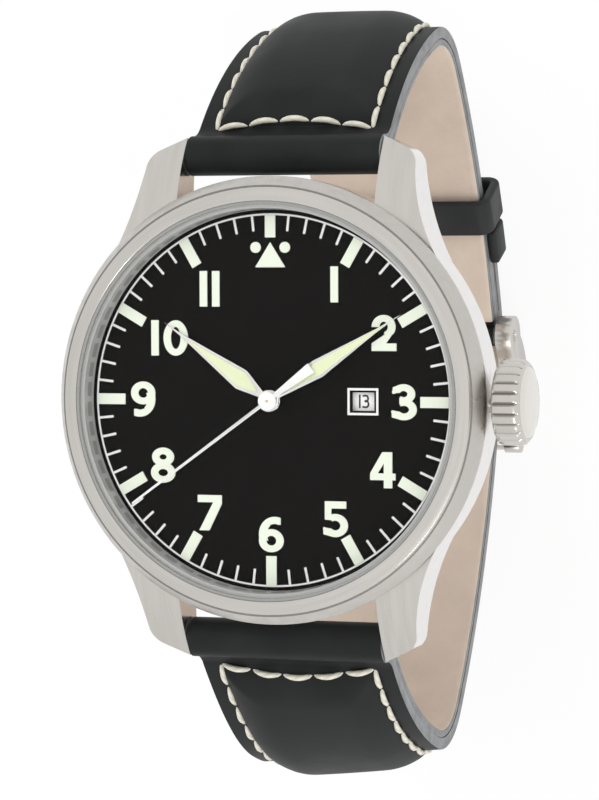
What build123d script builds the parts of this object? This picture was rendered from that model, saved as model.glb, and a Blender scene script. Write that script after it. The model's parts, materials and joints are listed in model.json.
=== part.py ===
"""Pilot watch: a steel case on a padded leather strap, closed by a pin buckle.

Millimetres. The dial faces +Z, 12 o'clock is +Y and the crown is on +X.
The origin is the centre of the outer face of the case back.
"""
from build123d import *
from math import sin, cos, tan, radians, degrees, pi, sqrt, atan2, hypot
import os

os.makedirs("parts", exist_ok=True)

# Fits and cutting allowances
overrun = 1.0              # how far a cutting tool runs past the face it cuts
fit_gap = 0.05             # radial play of a pressed or sliding part
running_gap = 0.04         # radial play of an arbor in its bearing
clear_gap = 0.2            # room between a moving piece and what it passes
soft_gap = 0.1             # room beside leather

# Case middle and lugs
flank_radius = 23.5
case_lift = 2.4            # the flank starts this far above the case back's outer face
flank_height = 5.3
flank_edge = 0.2
back_bore_radius = 21.0
back_bore_depth = 1.4
cavity_radius = 20.6
lug_gap = 22.2             # distance between the inner faces of a pair of lugs
lug_end_wall = 1.95        # spring bar's axis to the tip of a lug
lug_tip_width = 3.8
lug_tip_slant = 1.8
lug_tip_round = 1.1        # rounding of the tip's outer corner
lug_waist_width = 4.65     # width at the waist
lug_waist_share = 0.4925   # where the waist lies between the root and the tip
lug_root_reach = 14.6      # centre of the case to the root of a lug
lug_tip_top = 2.9          # heights over the case back's outer face
lug_mid_top = 5.7
lug_mid_share = 0.6418     # where the height is lug_mid_top
lug_root_top = 7.5
lug_bottom = 0.8
lug_heel = 2.1             # rounding under the tip
lug_edge = 0.25

# Spring bars
bar_reach = 26.05
bar_height = 2.1
bar_radius = 0.9
bar_tip_radius = 0.4
bar_tip_length = 1.4

# Bezel
bezel_radius = 23.75
bezel_height = 3.05        # above the case middle
bezel_band = 0.45          # upright band at its widest place
bezel_shoulder_radius = 22.6
bezel_shoulder_drop = 0.5
bezel_step = 0.15
bezel_bore = 21.1
bezel_top_drop = 0.2
bezel_lip_outer = 22.15
bezel_lip_inner = 21.6
bezel_lip_depth = 1.05

# Dial, flange ring and crystal
dial_level = 7.9           # height of the dial's face
dial_thickness = 0.4
dial_radius = 20.5
dial_hole_radius = 0.95
flange_bore = 20.2
flange_outer = 21.05
flange_height = 2.3
flange_flare = 0.15
crystal_radius = 20.75
crystal_edge = 0.7
crystal_dome = 0.35
crystal_bevel = 0.2
gasket_height = 0.45

# Dial print and luminous markers
print_thickness = 0.03
lume_thickness = 0.12
minute_ring_radius = 19.8
minute_ring_width = 0.2
minute_tick_inner = 18.0
minute_tick_width = 0.26
hour_bar_inner = 16.5
noon_bar_inner = 17.25
hour_bar_outer = 19.6
hour_bar_width = 1.15
triangle_tip = 16.75
triangle_base = 14.1
triangle_width = 3.35
dot_radius = 0.58
dot_spread = 1.63
dot_height = 16.2
numeral_height = 3.78
numeral_width = 2.78
numeral_stroke = 0.84
numeral_space = 0.55
numeral_radii = (14.2, 14.45, 14.75, 14.3, 14.35, 14.2, 13.9, 14.1, 14.45, 13.15, 13.65)
window_reach = 10.2
window_width = 2.5
window_height = 1.95
window_frame = 0.45
window_frame_inner_share = 0.45

# Date ring
date_inner = 8.7
date_outer = 11.6
date_thickness = 0.25
date_digit_height = 1.35
date_digit_width = 0.72
date_digit_stroke = 0.13
date_digit_space = 0.25
date_count = 31
date_shown = 13

# Hands
hand_thickness = 0.15
hand_hub_radius = 1.15
hour_hand_level = 0.35     # above the dial
minute_hand_level = 0.8
seconds_hand_level = 1.2
hour_hand_length = 14.5
hour_hand_width = 2.3
hour_hand_belly = 3.9
hour_hand_lume_end = 11.3
minute_hand_length = 17.3
minute_hand_width = 2.0
minute_hand_belly = 6.5
minute_hand_lume_end = 15.4
hand_rim = 0.3
hand_waist = 0.62
hand_needle = 0.32
seconds_hand_length = 18.9
seconds_hand_tail = 6.0
seconds_hand_width = 0.28
seconds_tail_width = 1.1
seconds_hub_radius = 0.95
hour_angle = 304.8         # clockwise from 12, as the hands stand
minute_angle = 57.9
seconds_angle = 234.0

# Case back
back_face_radius = 17.8
back_flange_radius = 22.4
back_flange_rise = 1.35
back_spigot_wall = 1.7
back_spigot_height = 0.6
window_radius = 14.0
window_seat_radius = 15.0
window_step = 0.4
window_thickness = 1.6
window_gasket_width = 0.4
back_inner_level = 1.75
back_gasket_inner = 21.3
back_gasket_width = 0.5
back_gasket_height = 0.3
back_notches = 6
back_notch_radius = 20.3
back_notch_width = 2.6

# Crown
crown_height = 5.4         # height of the crown's axis
crown_start = 24.75
crown_radius = 4.5
crown_length = 2.6
crown_cap = 0.55
crown_bevel = 0.35
crown_flutes = 24
crown_flute_radius = 0.32
crown_flute_share = 1.02   # how far out the flutes' axes lie, of the crown's radius
crown_boss_radius = 2.7
crown_boss_length = 0.8
crown_bore = 1.3
crown_bore_depth = 1.9
crown_tube_radius = 1.15
crown_tube_bore = 0.6
crown_tube_length = 5.2
stem_radius = 0.45
stem_inner_end = 5.6
winding_pinion_setback = 0.9
winding_pinion_length = 1.7
sliding_pinion_length = 1.6
pinion_space = 0.15
pinion_flutes = 12
pinion_flute_radius = 0.12
crown_gasket_width = 0.35

# Movement
movement_radius = 12.8
plate_thickness = 2.3
train_room = 1.3
bridge_thickness = 0.9
date_channel_depth = 0.6
motion_recess_radius = 8.2
motion_recess_depth = 0.9
ring_gap = 0.05
ring_bore = movement_radius + ring_gap
ring_outer = 20.3
clamp_length = 3.6
clamp_width = 2.4
clamp_thickness = 0.3
screw_head_radius = 0.7
screw_head_height = 0.3
screw_radius = 0.35
screw_slot_width = 0.18
screw_circle = 11.3        # the bridges' screws lie on this radius
near_screw_circle = 8.6
foot_radius = 1.05
jewel_radius = 0.6
jewel_thickness = 0.35
pivot_radius = 0.12
arbor_radius = 0.2

# Going train: tooth counts and modules
barrel_teeth, centre_pinion_teeth, barrel_module = 84, 12, 0.13
centre_teeth, third_pinion_teeth, centre_module = 75, 10, 0.1
third_teeth, fourth_pinion_teeth = 80, 10
fourth_teeth, escape_pinion_teeth, fourth_module = 84, 7, 0.09
cannon_teeth, minute_teeth, cannon_module = 12, 36, 0.12
minute_pinion_teeth, hour_teeth = 10, 40
ratchet_teeth, crown_wheel_teeth, winding_module = 50, 40, 0.12
wheel_thickness = 0.15
pinion_thickness = 0.3
barrel_direction, third_direction, escape_direction, balance_direction = 75.0, 235.0, 300.0, 315.0
minute_wheel_direction = 120.0
balance_reach = 7.9
level_gap = 0.075          # between the levels of two wheels
spokes = 4
spoke_width = 0.4
wheel_window_outer = 3.1
wheel_window_inner = 0.7
centre_window_inner = 1.0
winding_wheel_thickness = 0.25
barrel_height = 1.05
barrel_wall = 0.15
escape_radius = 1.9
escape_teeth = 20
escape_tooth_shares = ((0.78, 0.0), (1.0, 0.5), (0.985, 0.68), (0.78, 0.34))
escape_window_share = 0.65
escape_window_inner = 0.45
escape_spoke_width = 0.25
pallet_arm_reach = 1.3
balance_radius = 3.7
balance_rim = 0.4
balance_rim_height = 0.3
balance_rise = 0.95        # its rim's height over the bridges' lower face
balance_arm_width = 0.44
balance_arm_thickness = 0.2
balance_staff_drop = 0.3
hairspring_height = 0.15
hairspring_turns, hairspring_inner, hairspring_outer, hairspring_wire = 8, 0.6, 2.6, 0.05
mainspring_turns, mainspring_inner, mainspring_outer, mainspring_wire = 7, 1.3, 4.85, 0.14

# Rotor
rotor_radius = 12.5
rotor_rim_width = 2.9
rotor_rim_height = 0.65
rotor_web_thickness = 0.25
rotor_hub_radius = 1.6
rotor_hub_wall = 0.9
rotor_gap_to_bridge = 0.5
rotor_slot_width = 0.24
rotor_hole_angles = (-125.0, -90.0, -55.0)
rotor_hole_circle_share = 0.5
rotor_hole_share = 0.11

# Strap
strap_width = 21.9
strap_width_at_buckle = 20.0
strap_thickness = 2.2
cover_thickness = 1.3
tube_radius = 2.15
rim_line_offset = 0.25
strap_heading = 42.0       # degrees below +Y where the strap leaves its tube
strap_run = 3.5
strap_front_turn, strap_front_radius = 32.8, 39.4
strap_top_turn, strap_top_radius = 63.6, 9.8
strap_rear_turn = 22.9
strap_end_turn, strap_end_radius = 5.5, 25.0
tail_end_turn = 11.8
tail_tip_length = 4.5
tail_tip_width = 8.0
padding_width = 16.2
padding_height = 2.0
padding_start = 4.4
padding_sink = 0.65
padding_length_12 = 46.0
padding_length_6 = 52.0

# Keepers
keeper_thickness = 1.1
keeper_width = 4.2
keeper_corner = 0.6        # inner corners, the outer ones being wider by the thickness
fixed_keeper_width = 4.0
fixed_keeper_corner = 0.4
free_keeper_reach = 20.8
fixed_keeper_reach = 16.4
keeper_gap = 0.3

# Buckle
buckle_bar_radius = 0.7
buckle_tube_radius = 1.25
buckle_arm_thickness = 1.9
buckle_gap = 0.45
crossbar_radius = 1.15
crossbar_share = 0.22       # where it crosses the straight of the tail
crossbar_lift = 2.0        # its axis over the tail's outer face
tongue_width = 1.8
tongue_thickness = 1.0
tongue_overhang = 1.4
tongue_slot_play = 0.35
tongue_slot_share = 0.58    # how far the slot reaches from the bar towards the crossbar
tongue_slot_behind = 3.2
strap_hole_pitch = 6.5
strap_hole_radius = 0.85
strap_hole_steps = (-4.25, -3.25, -2.25, -1.25, 1.25)
arm_heel_drop, arm_heel_rise, arm_heel_reach = 2.1, 2.6, 2.3
arm_heel_start = 0.6
arm_belly, arm_belly_share = 4.8, 0.42
arm_hollow = 0.6
arm_nose_length, arm_nose_rise, arm_nose_drop = 1.5, 1.3, 1.2

# Heights and places that follow from the sizes above
flank_top = case_lift + flank_height
bezel_top = flank_top + bezel_height
dial_back = dial_level - dial_thickness
flange_top = dial_level + flange_height
plate_low = dial_back - plate_thickness
bridge_top = plate_low - train_room
bridge_low = bridge_top - bridge_thickness
rotor_web_top = bridge_low - rotor_gap_to_bridge
lug_inner = lug_gap / 2
lug_reach = bar_reach + lug_end_wall
lug_bottom_reach = lug_reach - lug_heel
lug_waist_reach = lug_root_reach + lug_waist_share * (lug_reach - lug_root_reach)
lug_mid_reach = lug_root_reach + lug_mid_share * (lug_reach - lug_root_reach)


def post(radius, low, high, x=0.0, y=0.0):
    """A round post along Z."""
    up = (Align.CENTER, Align.CENTER, Align.MIN)
    return Pos(x, y, low) * Cylinder(radius, high - low, align=up)


def ring(outer, inner, low, high, x=0.0, y=0.0):
    """A flat ring about Z."""
    return post(outer, low, high, x, y) - post(inner, low - overrun, high + overrun, x, y)


def rod(radius, start, end, y=0.0, z=0.0):
    """A round bar along X."""
    along = Cylinder(radius, end - start, align=(Align.CENTER, Align.CENTER, Align.MIN))
    return Pos(start, y, z) * Rot(0, 90, 0) * along


def block(x0, x1, y0, y1, z0, z1):
    """A box between two corners."""
    low = (Align.MIN, Align.MIN, Align.MIN)
    return Pos(x0, y0, z0) * Box(x1 - x0, y1 - y0, z1 - z0, align=low)


def turned(points):
    """A body of revolution about Z, from (radius, height) points."""
    outline = Polyline(*[(r, 0, z) for r, z in points], close=True)
    return revolve(make_face(outline), Axis.Z)


def turned_about_crown(points):
    """A body of revolution about the crown's axis, from (x, radius) points."""
    outline = Polyline(*[(x, 0, crown_height + r) for x, r in points], close=True)
    return revolve(make_face(outline), Axis((0, 0, crown_height), (1, 0, 0)))


def plate_from(points, low, high):
    """An upright prism over a closed outline of (x, y) points."""
    outline = Polyline(*[(x, y, low) for x, y in points], close=True)
    return extrude(make_face(outline), high - low, dir=(0, 0, 1))


def polar(radius, angle):
    """The place at a radius and an angle anticlockwise from +X."""
    return radius * cos(radians(angle)), radius * sin(radians(angle))


def clock(radius, angle):
    """The place at a radius and an angle clockwise from 12."""
    return radius * sin(radians(angle)), radius * cos(radians(angle))


def save(shape, name):
    """Write one node."""
    export_step(shape, os.path.join("parts", name + ".step"))


def group(solids):
    """Separate solids that share a node."""
    return Compound(children=[solid for shape in solids for solid in shape.solids()])


# Gears

tooth_share = 0.4
addendum_share = 0.8
dedendum_share = 1.2


def toothed(teeth, module, low, high, place, phase, bore=0.0):
    """A spur wheel. One tooth points along the angle phase."""
    pitch_radius = teeth * module / 2
    tip = pitch_radius + addendum_share * module
    root = pitch_radius - dedendum_share * module
    step = 360 / teeth
    half_tip = step * tooth_share * 0.3
    half_root = step * tooth_share * 0.7
    points = []
    for count in range(teeth):
        middle = phase + count * step
        for radius, turn in ((root, -half_root), (tip, -half_tip), (tip, half_tip), (root, half_root)):
            x, y = polar(radius, middle + turn)
            points.append((place[0] + x, place[1] + y))
    wheel = plate_from(points, low, high)
    if bore > 0:
        wheel -= post(bore, low - overrun, high + overrun, *place)
    return wheel


def crossed(wheel, place, outer, inner, low, high, spokes, width):
    """Cut a wheel's web open, leaving its spokes."""
    window = ring(outer, inner, low - overrun, high + overrun, *place)
    for count in range(spokes):
        turn = Pos(place[0], place[1], 0) * Rot(0, 0, count * 360 / spokes)
        window -= turn * block(0, outer + overrun, -width / 2, width / 2, low - 2 * overrun,
                               high + 2 * overrun)
    return wheel - window


def spiral(turns, inner, outer, wire, low, high, place):
    """A flat spiral spring."""
    steps_per_turn = 20
    steps = turns * steps_per_turn
    inside, outside = [], []
    for count in range(steps + 1):
        angle = 360 * count / steps_per_turn
        radius = inner + (outer - inner) * count / steps
        inside.append(polar(radius - wire / 2, angle))
        outside.append(polar(radius + wire / 2, angle))
    points = [(place[0] + x, place[1] + y) for x, y in inside + outside[::-1]]
    return plate_from(points, low, high)


# Case

heel_share = 0.41          # how full the rounding under a lug's tip is
corner_share = 0.29        # how far a quarter round stays off its corner


def rounded_corner(before, corner, after, size):
    """Start, middle and end of the arc that rounds a corner."""
    ends = []
    for x, y in (before, after):
        length = hypot(x - corner[0], y - corner[1])
        ends.append(((x - corner[0]) * size / length, (y - corner[1]) * size / length))
    (ax, ay), (bx, by) = ends
    middle = (corner[0] + corner_share * (ax + bx), corner[1] + corner_share * (ay + by))
    return (corner[0] + ax, corner[1] + ay), middle, (corner[0] + bx, corner[1] + by)


def make_case_middle():
    body = turned([
        (back_bore_radius, case_lift),
        (flank_radius - flank_edge, case_lift),
        (flank_radius, case_lift + flank_edge),
        (flank_radius, flank_top - flank_edge),
        (flank_radius - flank_edge, flank_top),
        (bezel_lip_outer + fit_gap, flank_top),
        (bezel_lip_outer + fit_gap, flank_top - bezel_lip_depth - fit_gap),
        (bezel_lip_inner - fit_gap, flank_top - bezel_lip_depth - fit_gap),
        (bezel_lip_inner - fit_gap, dial_level),
        (cavity_radius, dial_level),
        (cavity_radius, case_lift + back_bore_depth),
        (back_bore_radius, case_lift + back_bore_depth),
    ])
    tip_corner = lug_inner + lug_tip_width
    root_x = sqrt(flank_radius ** 2 - lug_root_reach ** 2)
    corner, waist = (tip_corner, lug_reach - lug_tip_slant), (lug_inner + lug_waist_width, lug_waist_reach)
    round_start, round_middle, round_end = rounded_corner((lug_inner, lug_reach), corner, waist,
                                                          lug_tip_round)
    plan = make_face([
        Line((lug_inner, lug_root_reach), (lug_inner, lug_reach)),
        Line((lug_inner, lug_reach), round_start),
        ThreePointArc(round_start, round_middle, round_end),
        ThreePointArc(round_end, waist, (root_x, lug_root_reach)),
        Line((root_x, lug_root_reach), (lug_inner, lug_root_reach)),
    ])
    plan_prism = extrude(plan, bezel_top, dir=(0, 0, 1))
    mid_low = (lug_bottom + case_lift) / 2 - lug_edge
    mid_low_reach = (lug_bottom_reach + lug_root_reach) / 2
    tip_low = (lug_bottom + lug_tip_top) / 2
    heel_reach = (lug_reach - lug_edge + lug_bottom_reach) / 2
    heel_level = (tip_low + lug_bottom) / 2
    side = make_face([
        ThreePointArc((0, lug_root_reach, lug_root_top), (0, lug_mid_reach, lug_mid_top),
                      (0, lug_reach, lug_tip_top)),
        Line((0, lug_reach, lug_tip_top), (0, lug_reach - lug_edge, tip_low)),
        ThreePointArc((0, lug_reach - lug_edge, tip_low),
                      (0, heel_reach + heel_share * (lug_reach - lug_edge - heel_reach),
                       heel_level - heel_share * (heel_level - lug_bottom)),
                      (0, lug_bottom_reach, lug_bottom)),
        ThreePointArc((0, lug_bottom_reach, lug_bottom), (0, mid_low_reach, mid_low),
                      (0, lug_root_reach, case_lift)),
        Line((0, lug_root_reach, case_lift), (0, lug_root_reach, lug_root_top)),
    ])
    side_prism = extrude(side, flank_radius, dir=(1, 0, 0))
    lug = plan_prism & side_prism
    lug -= post(back_flange_radius + soft_gap, -overrun, bezel_top + overrun)
    lug = lug.solids().sort_by(SortBy.VOLUME)[-1]
    for flip_x in (False, True):
        for flip_y in (False, True):
            copy = lug
            copy = mirror(copy, Plane.YZ) if flip_x else copy
            copy = mirror(copy, Plane.XZ) if flip_y else copy
            body += copy
    for side_sign in (1, -1):
        hole = rod(bar_tip_radius + fit_gap, -lug_inner - bar_tip_length, lug_inner + bar_tip_length,
                   side_sign * bar_reach, bar_height)
        body -= hole
    body -= rod(crown_tube_radius, cavity_radius - overrun, flank_radius + overrun, 0, crown_height)
    return body


def make_bezel():
    shoulder = bezel_top - bezel_shoulder_drop
    under = flank_top + fit_gap
    return turned([
        (bezel_lip_inner, flank_top - bezel_lip_depth),
        (bezel_lip_outer, flank_top - bezel_lip_depth),
        (bezel_lip_outer, under),
        (bezel_radius - flank_edge, under),
        (bezel_radius, under + flank_edge),
        (bezel_radius, under + flank_edge + bezel_band),
        (bezel_shoulder_radius + bezel_step, shoulder - bezel_step),
        (bezel_shoulder_radius, shoulder - bezel_step),
        (bezel_shoulder_radius - bezel_step, shoulder + bezel_top_drop),
        (bezel_bore, bezel_top),
        (bezel_bore, dial_level + fit_gap),
        (bezel_lip_inner, dial_level + fit_gap),
    ])


def make_flange_ring():
    return turned([
        (flange_bore, dial_level), (flange_outer, dial_level), (flange_outer, flange_top),
        (flange_bore + flange_flare, flange_top),
    ])


def cap_of(radius, rise):
    """A spherical cap on the plane z = 0."""
    ball_radius = (radius ** 2 + rise ** 2) / (2 * rise)
    ball = Pos(0, 0, rise - ball_radius) * Sphere(ball_radius)
    return ball & post(2 * radius, 0, 2 * rise)


def make_crystal():
    rim = flange_top + crystal_edge
    inner = crystal_radius - crystal_bevel
    disc = turned([(0, flange_top), (crystal_radius, flange_top), (crystal_radius, rim),
                   (inner, rim + crystal_bevel), (0, rim + crystal_bevel)])
    return disc + Pos(0, 0, rim + crystal_bevel) * cap_of(inner, crystal_dome)


def make_case_back():
    top = case_lift + back_spigot_height
    spigot = back_bore_radius - fit_gap
    seat = window_seat_radius + window_gasket_width
    body = turned([
        (window_radius, 0),
        (back_face_radius, 0),
        (back_flange_radius - flank_edge, back_flange_rise),
        (back_flange_radius, back_flange_rise + flank_edge),
        (back_flange_radius, case_lift),
        (spigot, case_lift),
        (spigot, top),
        (spigot - back_spigot_wall, top),
        (spigot - back_spigot_wall, back_inner_level),
        (seat, back_inner_level),
        (seat, window_step),
        (window_radius, window_step),
    ])
    groove_low = case_lift - back_gasket_height
    body -= ring(back_gasket_inner + back_gasket_width, back_gasket_inner, groove_low, case_lift + overrun)
    half = back_notch_width / 2
    for count in range(back_notches):
        turn = Rot(0, 0, count * 360 / back_notches)
        body -= turn * block(back_notch_radius - half, back_notch_radius + half, -half, half,
                             -overrun, back_flange_rise - flank_edge)
    return body


# Strap line: lines and arcs in the YZ plane, seen from +X
# A heading is the angle below +Y, and the inside of the loop lies on the right of the way.

def follow(start, heading, steps):
    """Lay out lines and arcs end to end."""
    y, z = start
    pieces = []
    for kind, amount, radius in steps:
        if kind == "line":
            pieces.append(("line", (y, z), heading, amount))
            y += amount * cos(radians(heading))
            z -= amount * sin(radians(heading))
        else:
            signed = radius if amount > 0 else -radius
            centre = (y - signed * sin(radians(heading)), z - signed * cos(radians(heading)))
            pieces.append(("arc", centre, heading, amount, signed))
            heading += amount
            y = centre[0] + signed * sin(radians(heading))
            z = centre[1] + signed * cos(radians(heading))
    return pieces


def place_on(piece, share, depth):
    """A place along one piece of the line, at a depth inside it."""
    if piece[0] == "line":
        _, (y, z), heading, length = piece
        y += share * length * cos(radians(heading)) - depth * sin(radians(heading))
        z -= share * length * sin(radians(heading)) + depth * cos(radians(heading))
        return y, z
    _, centre, heading, turn, signed = piece
    angle = radians(heading + share * turn)
    reach = signed - depth
    return centre[0] + reach * sin(angle), centre[1] + reach * cos(angle)


def line_at(pieces, distance):
    """Place and heading at a distance along the line."""
    for piece in pieces:
        if piece[0] == "line":
            length = piece[3]
        else:
            length = abs(radians(piece[3]) * piece[4])
        if distance <= length or piece is pieces[-1]:
            share = min(distance / length, 1)
            heading = piece[2] if piece[0] == "line" else piece[2] + share * piece[3]
            return place_on(piece, share, 0), heading
        distance -= length


def edges_at(pieces, depth, side):
    """Edges of the line at one depth, in the YZ plane. A side of -1 mirrors it to the 6 o'clock side."""
    edges = []
    for piece in pieces:
        ends = [(0, side * y, z) for y, z in (place_on(piece, share, depth) for share in (0, 0.5, 1))]
        if piece[0] == "line":
            edges.append(Line(ends[0], ends[2]))
        else:
            edges.append(ThreePointArc(*ends))
    return edges


def length_of(pieces):
    """The length of the whole line."""
    return sum(piece[3] if piece[0] == "line" else abs(radians(piece[3]) * piece[4]) for piece in pieces)


def band(pieces, outer_depth, inner_depth, side, width):
    """A leather layer between two depths, as wide as the strap."""
    outer = edges_at(pieces, outer_depth, side)
    inner = edges_at(pieces, inner_depth, side)
    start = Line(inner[0] @ 0, outer[0] @ 0)
    end = Line(outer[-1] @ 1, inner[-1] @ 1)
    face = make_face([*outer, end, *inner[::-1], start])
    return extrude(face, width / 2, dir=(1, 0, 0), both=True)


bar_centre = (bar_reach, bar_height)
line_start = (bar_reach + rim_line_offset * sin(radians(strap_heading)),
              bar_height + rim_line_offset * cos(radians(strap_heading)))
front_steps = [
    ("line", strap_run, 0),
    ("arc", strap_front_turn, strap_front_radius),
    ("arc", strap_top_turn, strap_top_radius),
]
top_piece = follow(line_start, strap_heading, front_steps)[-1]
top_end_y = place_on(top_piece, 1, 0)[0]
top_end_heading = strap_heading + strap_front_turn + strap_top_turn
rear_tilt = radians(180 - top_end_heading - strap_rear_turn)
rear_span = top_end_y - strap_end_radius * sin(rear_tilt)
strap_rear_radius = rear_span / (sin(radians(top_end_heading)) - sin(rear_tilt))
shared_steps = front_steps + [("arc", strap_rear_turn, strap_rear_radius)]
rear_piece = follow(line_start, strap_heading, shared_steps)[-1]
rear_end_y = place_on(rear_piece, 1, 0)[0]

tail_offset = strap_thickness + soft_gap
tail_run = tail_offset / tan(rear_tilt)
tail_crossing = 2 * rear_end_y + tail_offset * sin(rear_tilt) - tail_run * cos(rear_tilt)
tail_radius = tail_crossing / sin(rear_tilt) / 2
tail_turn = 2 * degrees(rear_tilt)
short_line = follow(line_start, strap_heading, shared_steps + [("arc", strap_end_turn, strap_end_radius)])
long_line = follow(line_start, strap_heading, shared_steps + [
    ("line", tail_run, 0),
    ("arc", tail_turn, tail_radius),
    ("arc", tail_end_turn, strap_rear_radius + tail_offset),
])
loop_low = place_on(short_line[-1], 1, 0)[1]


def tapered(width_front, width_rear):
    """The room that the strap's edges leave, narrowing from the lugs to the buckle."""
    top, bottom = bar_height, loop_low
    slope = (width_front - width_rear) / (top - bottom) / 2
    high, low = top + 4 * tube_radius, bottom - 8 * tube_radius
    at_high = width_front / 2
    at_low = width_rear / 2
    left = [(-at_high, 0, high), (-at_high, 0, top), (-at_low, 0, bottom), (-at_low, 0, low)]
    outline = Polyline(*left, *[(-x, 0, z) for x, _, z in left[::-1]], close=True)
    return extrude(make_face(outline), 3 * lug_reach, dir=(0, 1, 0), both=True)


def padding(pieces, length):
    """The padded centre on the 6 o'clock side: a crowned form that thins out at both ends."""
    stations_share = (0.0, 0.05, 0.12, 0.2, 0.28, 0.36, 0.44, 0.52, 0.6, 0.7, 0.8, 0.9, 1.0)
    height_share = (0.25, 0.75, 0.96, 1.0, 1.0, 1.0, 0.99, 0.96, 0.89, 0.76, 0.57, 0.36, 0.14)
    width_share = (0.94, 0.98, 1.0, 1.0, 0.995, 0.99, 0.985, 0.98, 0.97, 0.96, 0.95, 0.935, 0.92)
    shoulder_share = 0.82
    sections = []
    for station, tall, wide in zip(stations_share, height_share, width_share):
        (y, z), heading = line_at(pieces, padding_start + station * length)
        out_y, out_z = sin(radians(heading)), cos(radians(heading))
        half = padding_width * wide / 2
        top = padding_height * tall

        def spot(across, up):
            return (across, -y - up * out_y, z + up * out_z)

        left, right = spot(-half, -padding_sink), spot(half, -padding_sink)
        left_mid = spot(-half * (1 + shoulder_share) / 2 - padding_sink / 2, top * 0.5)
        right_mid = spot(half * (1 + shoulder_share) / 2 + padding_sink / 2, top * 0.5)
        left_top = spot(-half * shoulder_share, top * 0.85)
        right_top = spot(half * shoulder_share, top * 0.85)
        sections.append(make_face([
            Line(left, right),
            ThreePointArc(right, right_mid, right_top),
            ThreePointArc(right_top, spot(0, top), left_top),
            ThreePointArc(left_top, left_mid, left),
        ]))
    return loft(sections)


def make_strap_half(pieces, side, padding_length):
    """Cover leather with its tube and padding, and the lining, of one strap half."""
    room = tapered(strap_width, strap_width_at_buckle)
    cover = band(pieces, 0, cover_thickness, -1, strap_width)
    lining = band(pieces, cover_thickness, strap_thickness, -1, strap_width)
    tube = rod(tube_radius, -strap_width / 2, strap_width / 2, -bar_reach, bar_height)
    hole = rod(bar_radius + running_gap, -strap_width, strap_width, -bar_reach, bar_height)
    lining = (lining - tube) & room
    cover = ((cover + tube) & room) + padding(pieces, padding_length) - hole
    if side > 0:
        return mirror(cover, Plane.XZ), mirror(lining, Plane.XZ)
    return cover, lining


# Numerals: outlines inside a box of the given width and height, centred on the origin

def ellipse_ring(x, y, half_width, half_height, stroke):
    outer = Ellipse(half_width, half_height)
    inner = Ellipse(half_width - stroke, half_height - stroke * 0.85)
    return Pos(x, y) * (outer - inner)


def quad(*points):
    return make_face(Polyline(*points, close=True))


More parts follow.
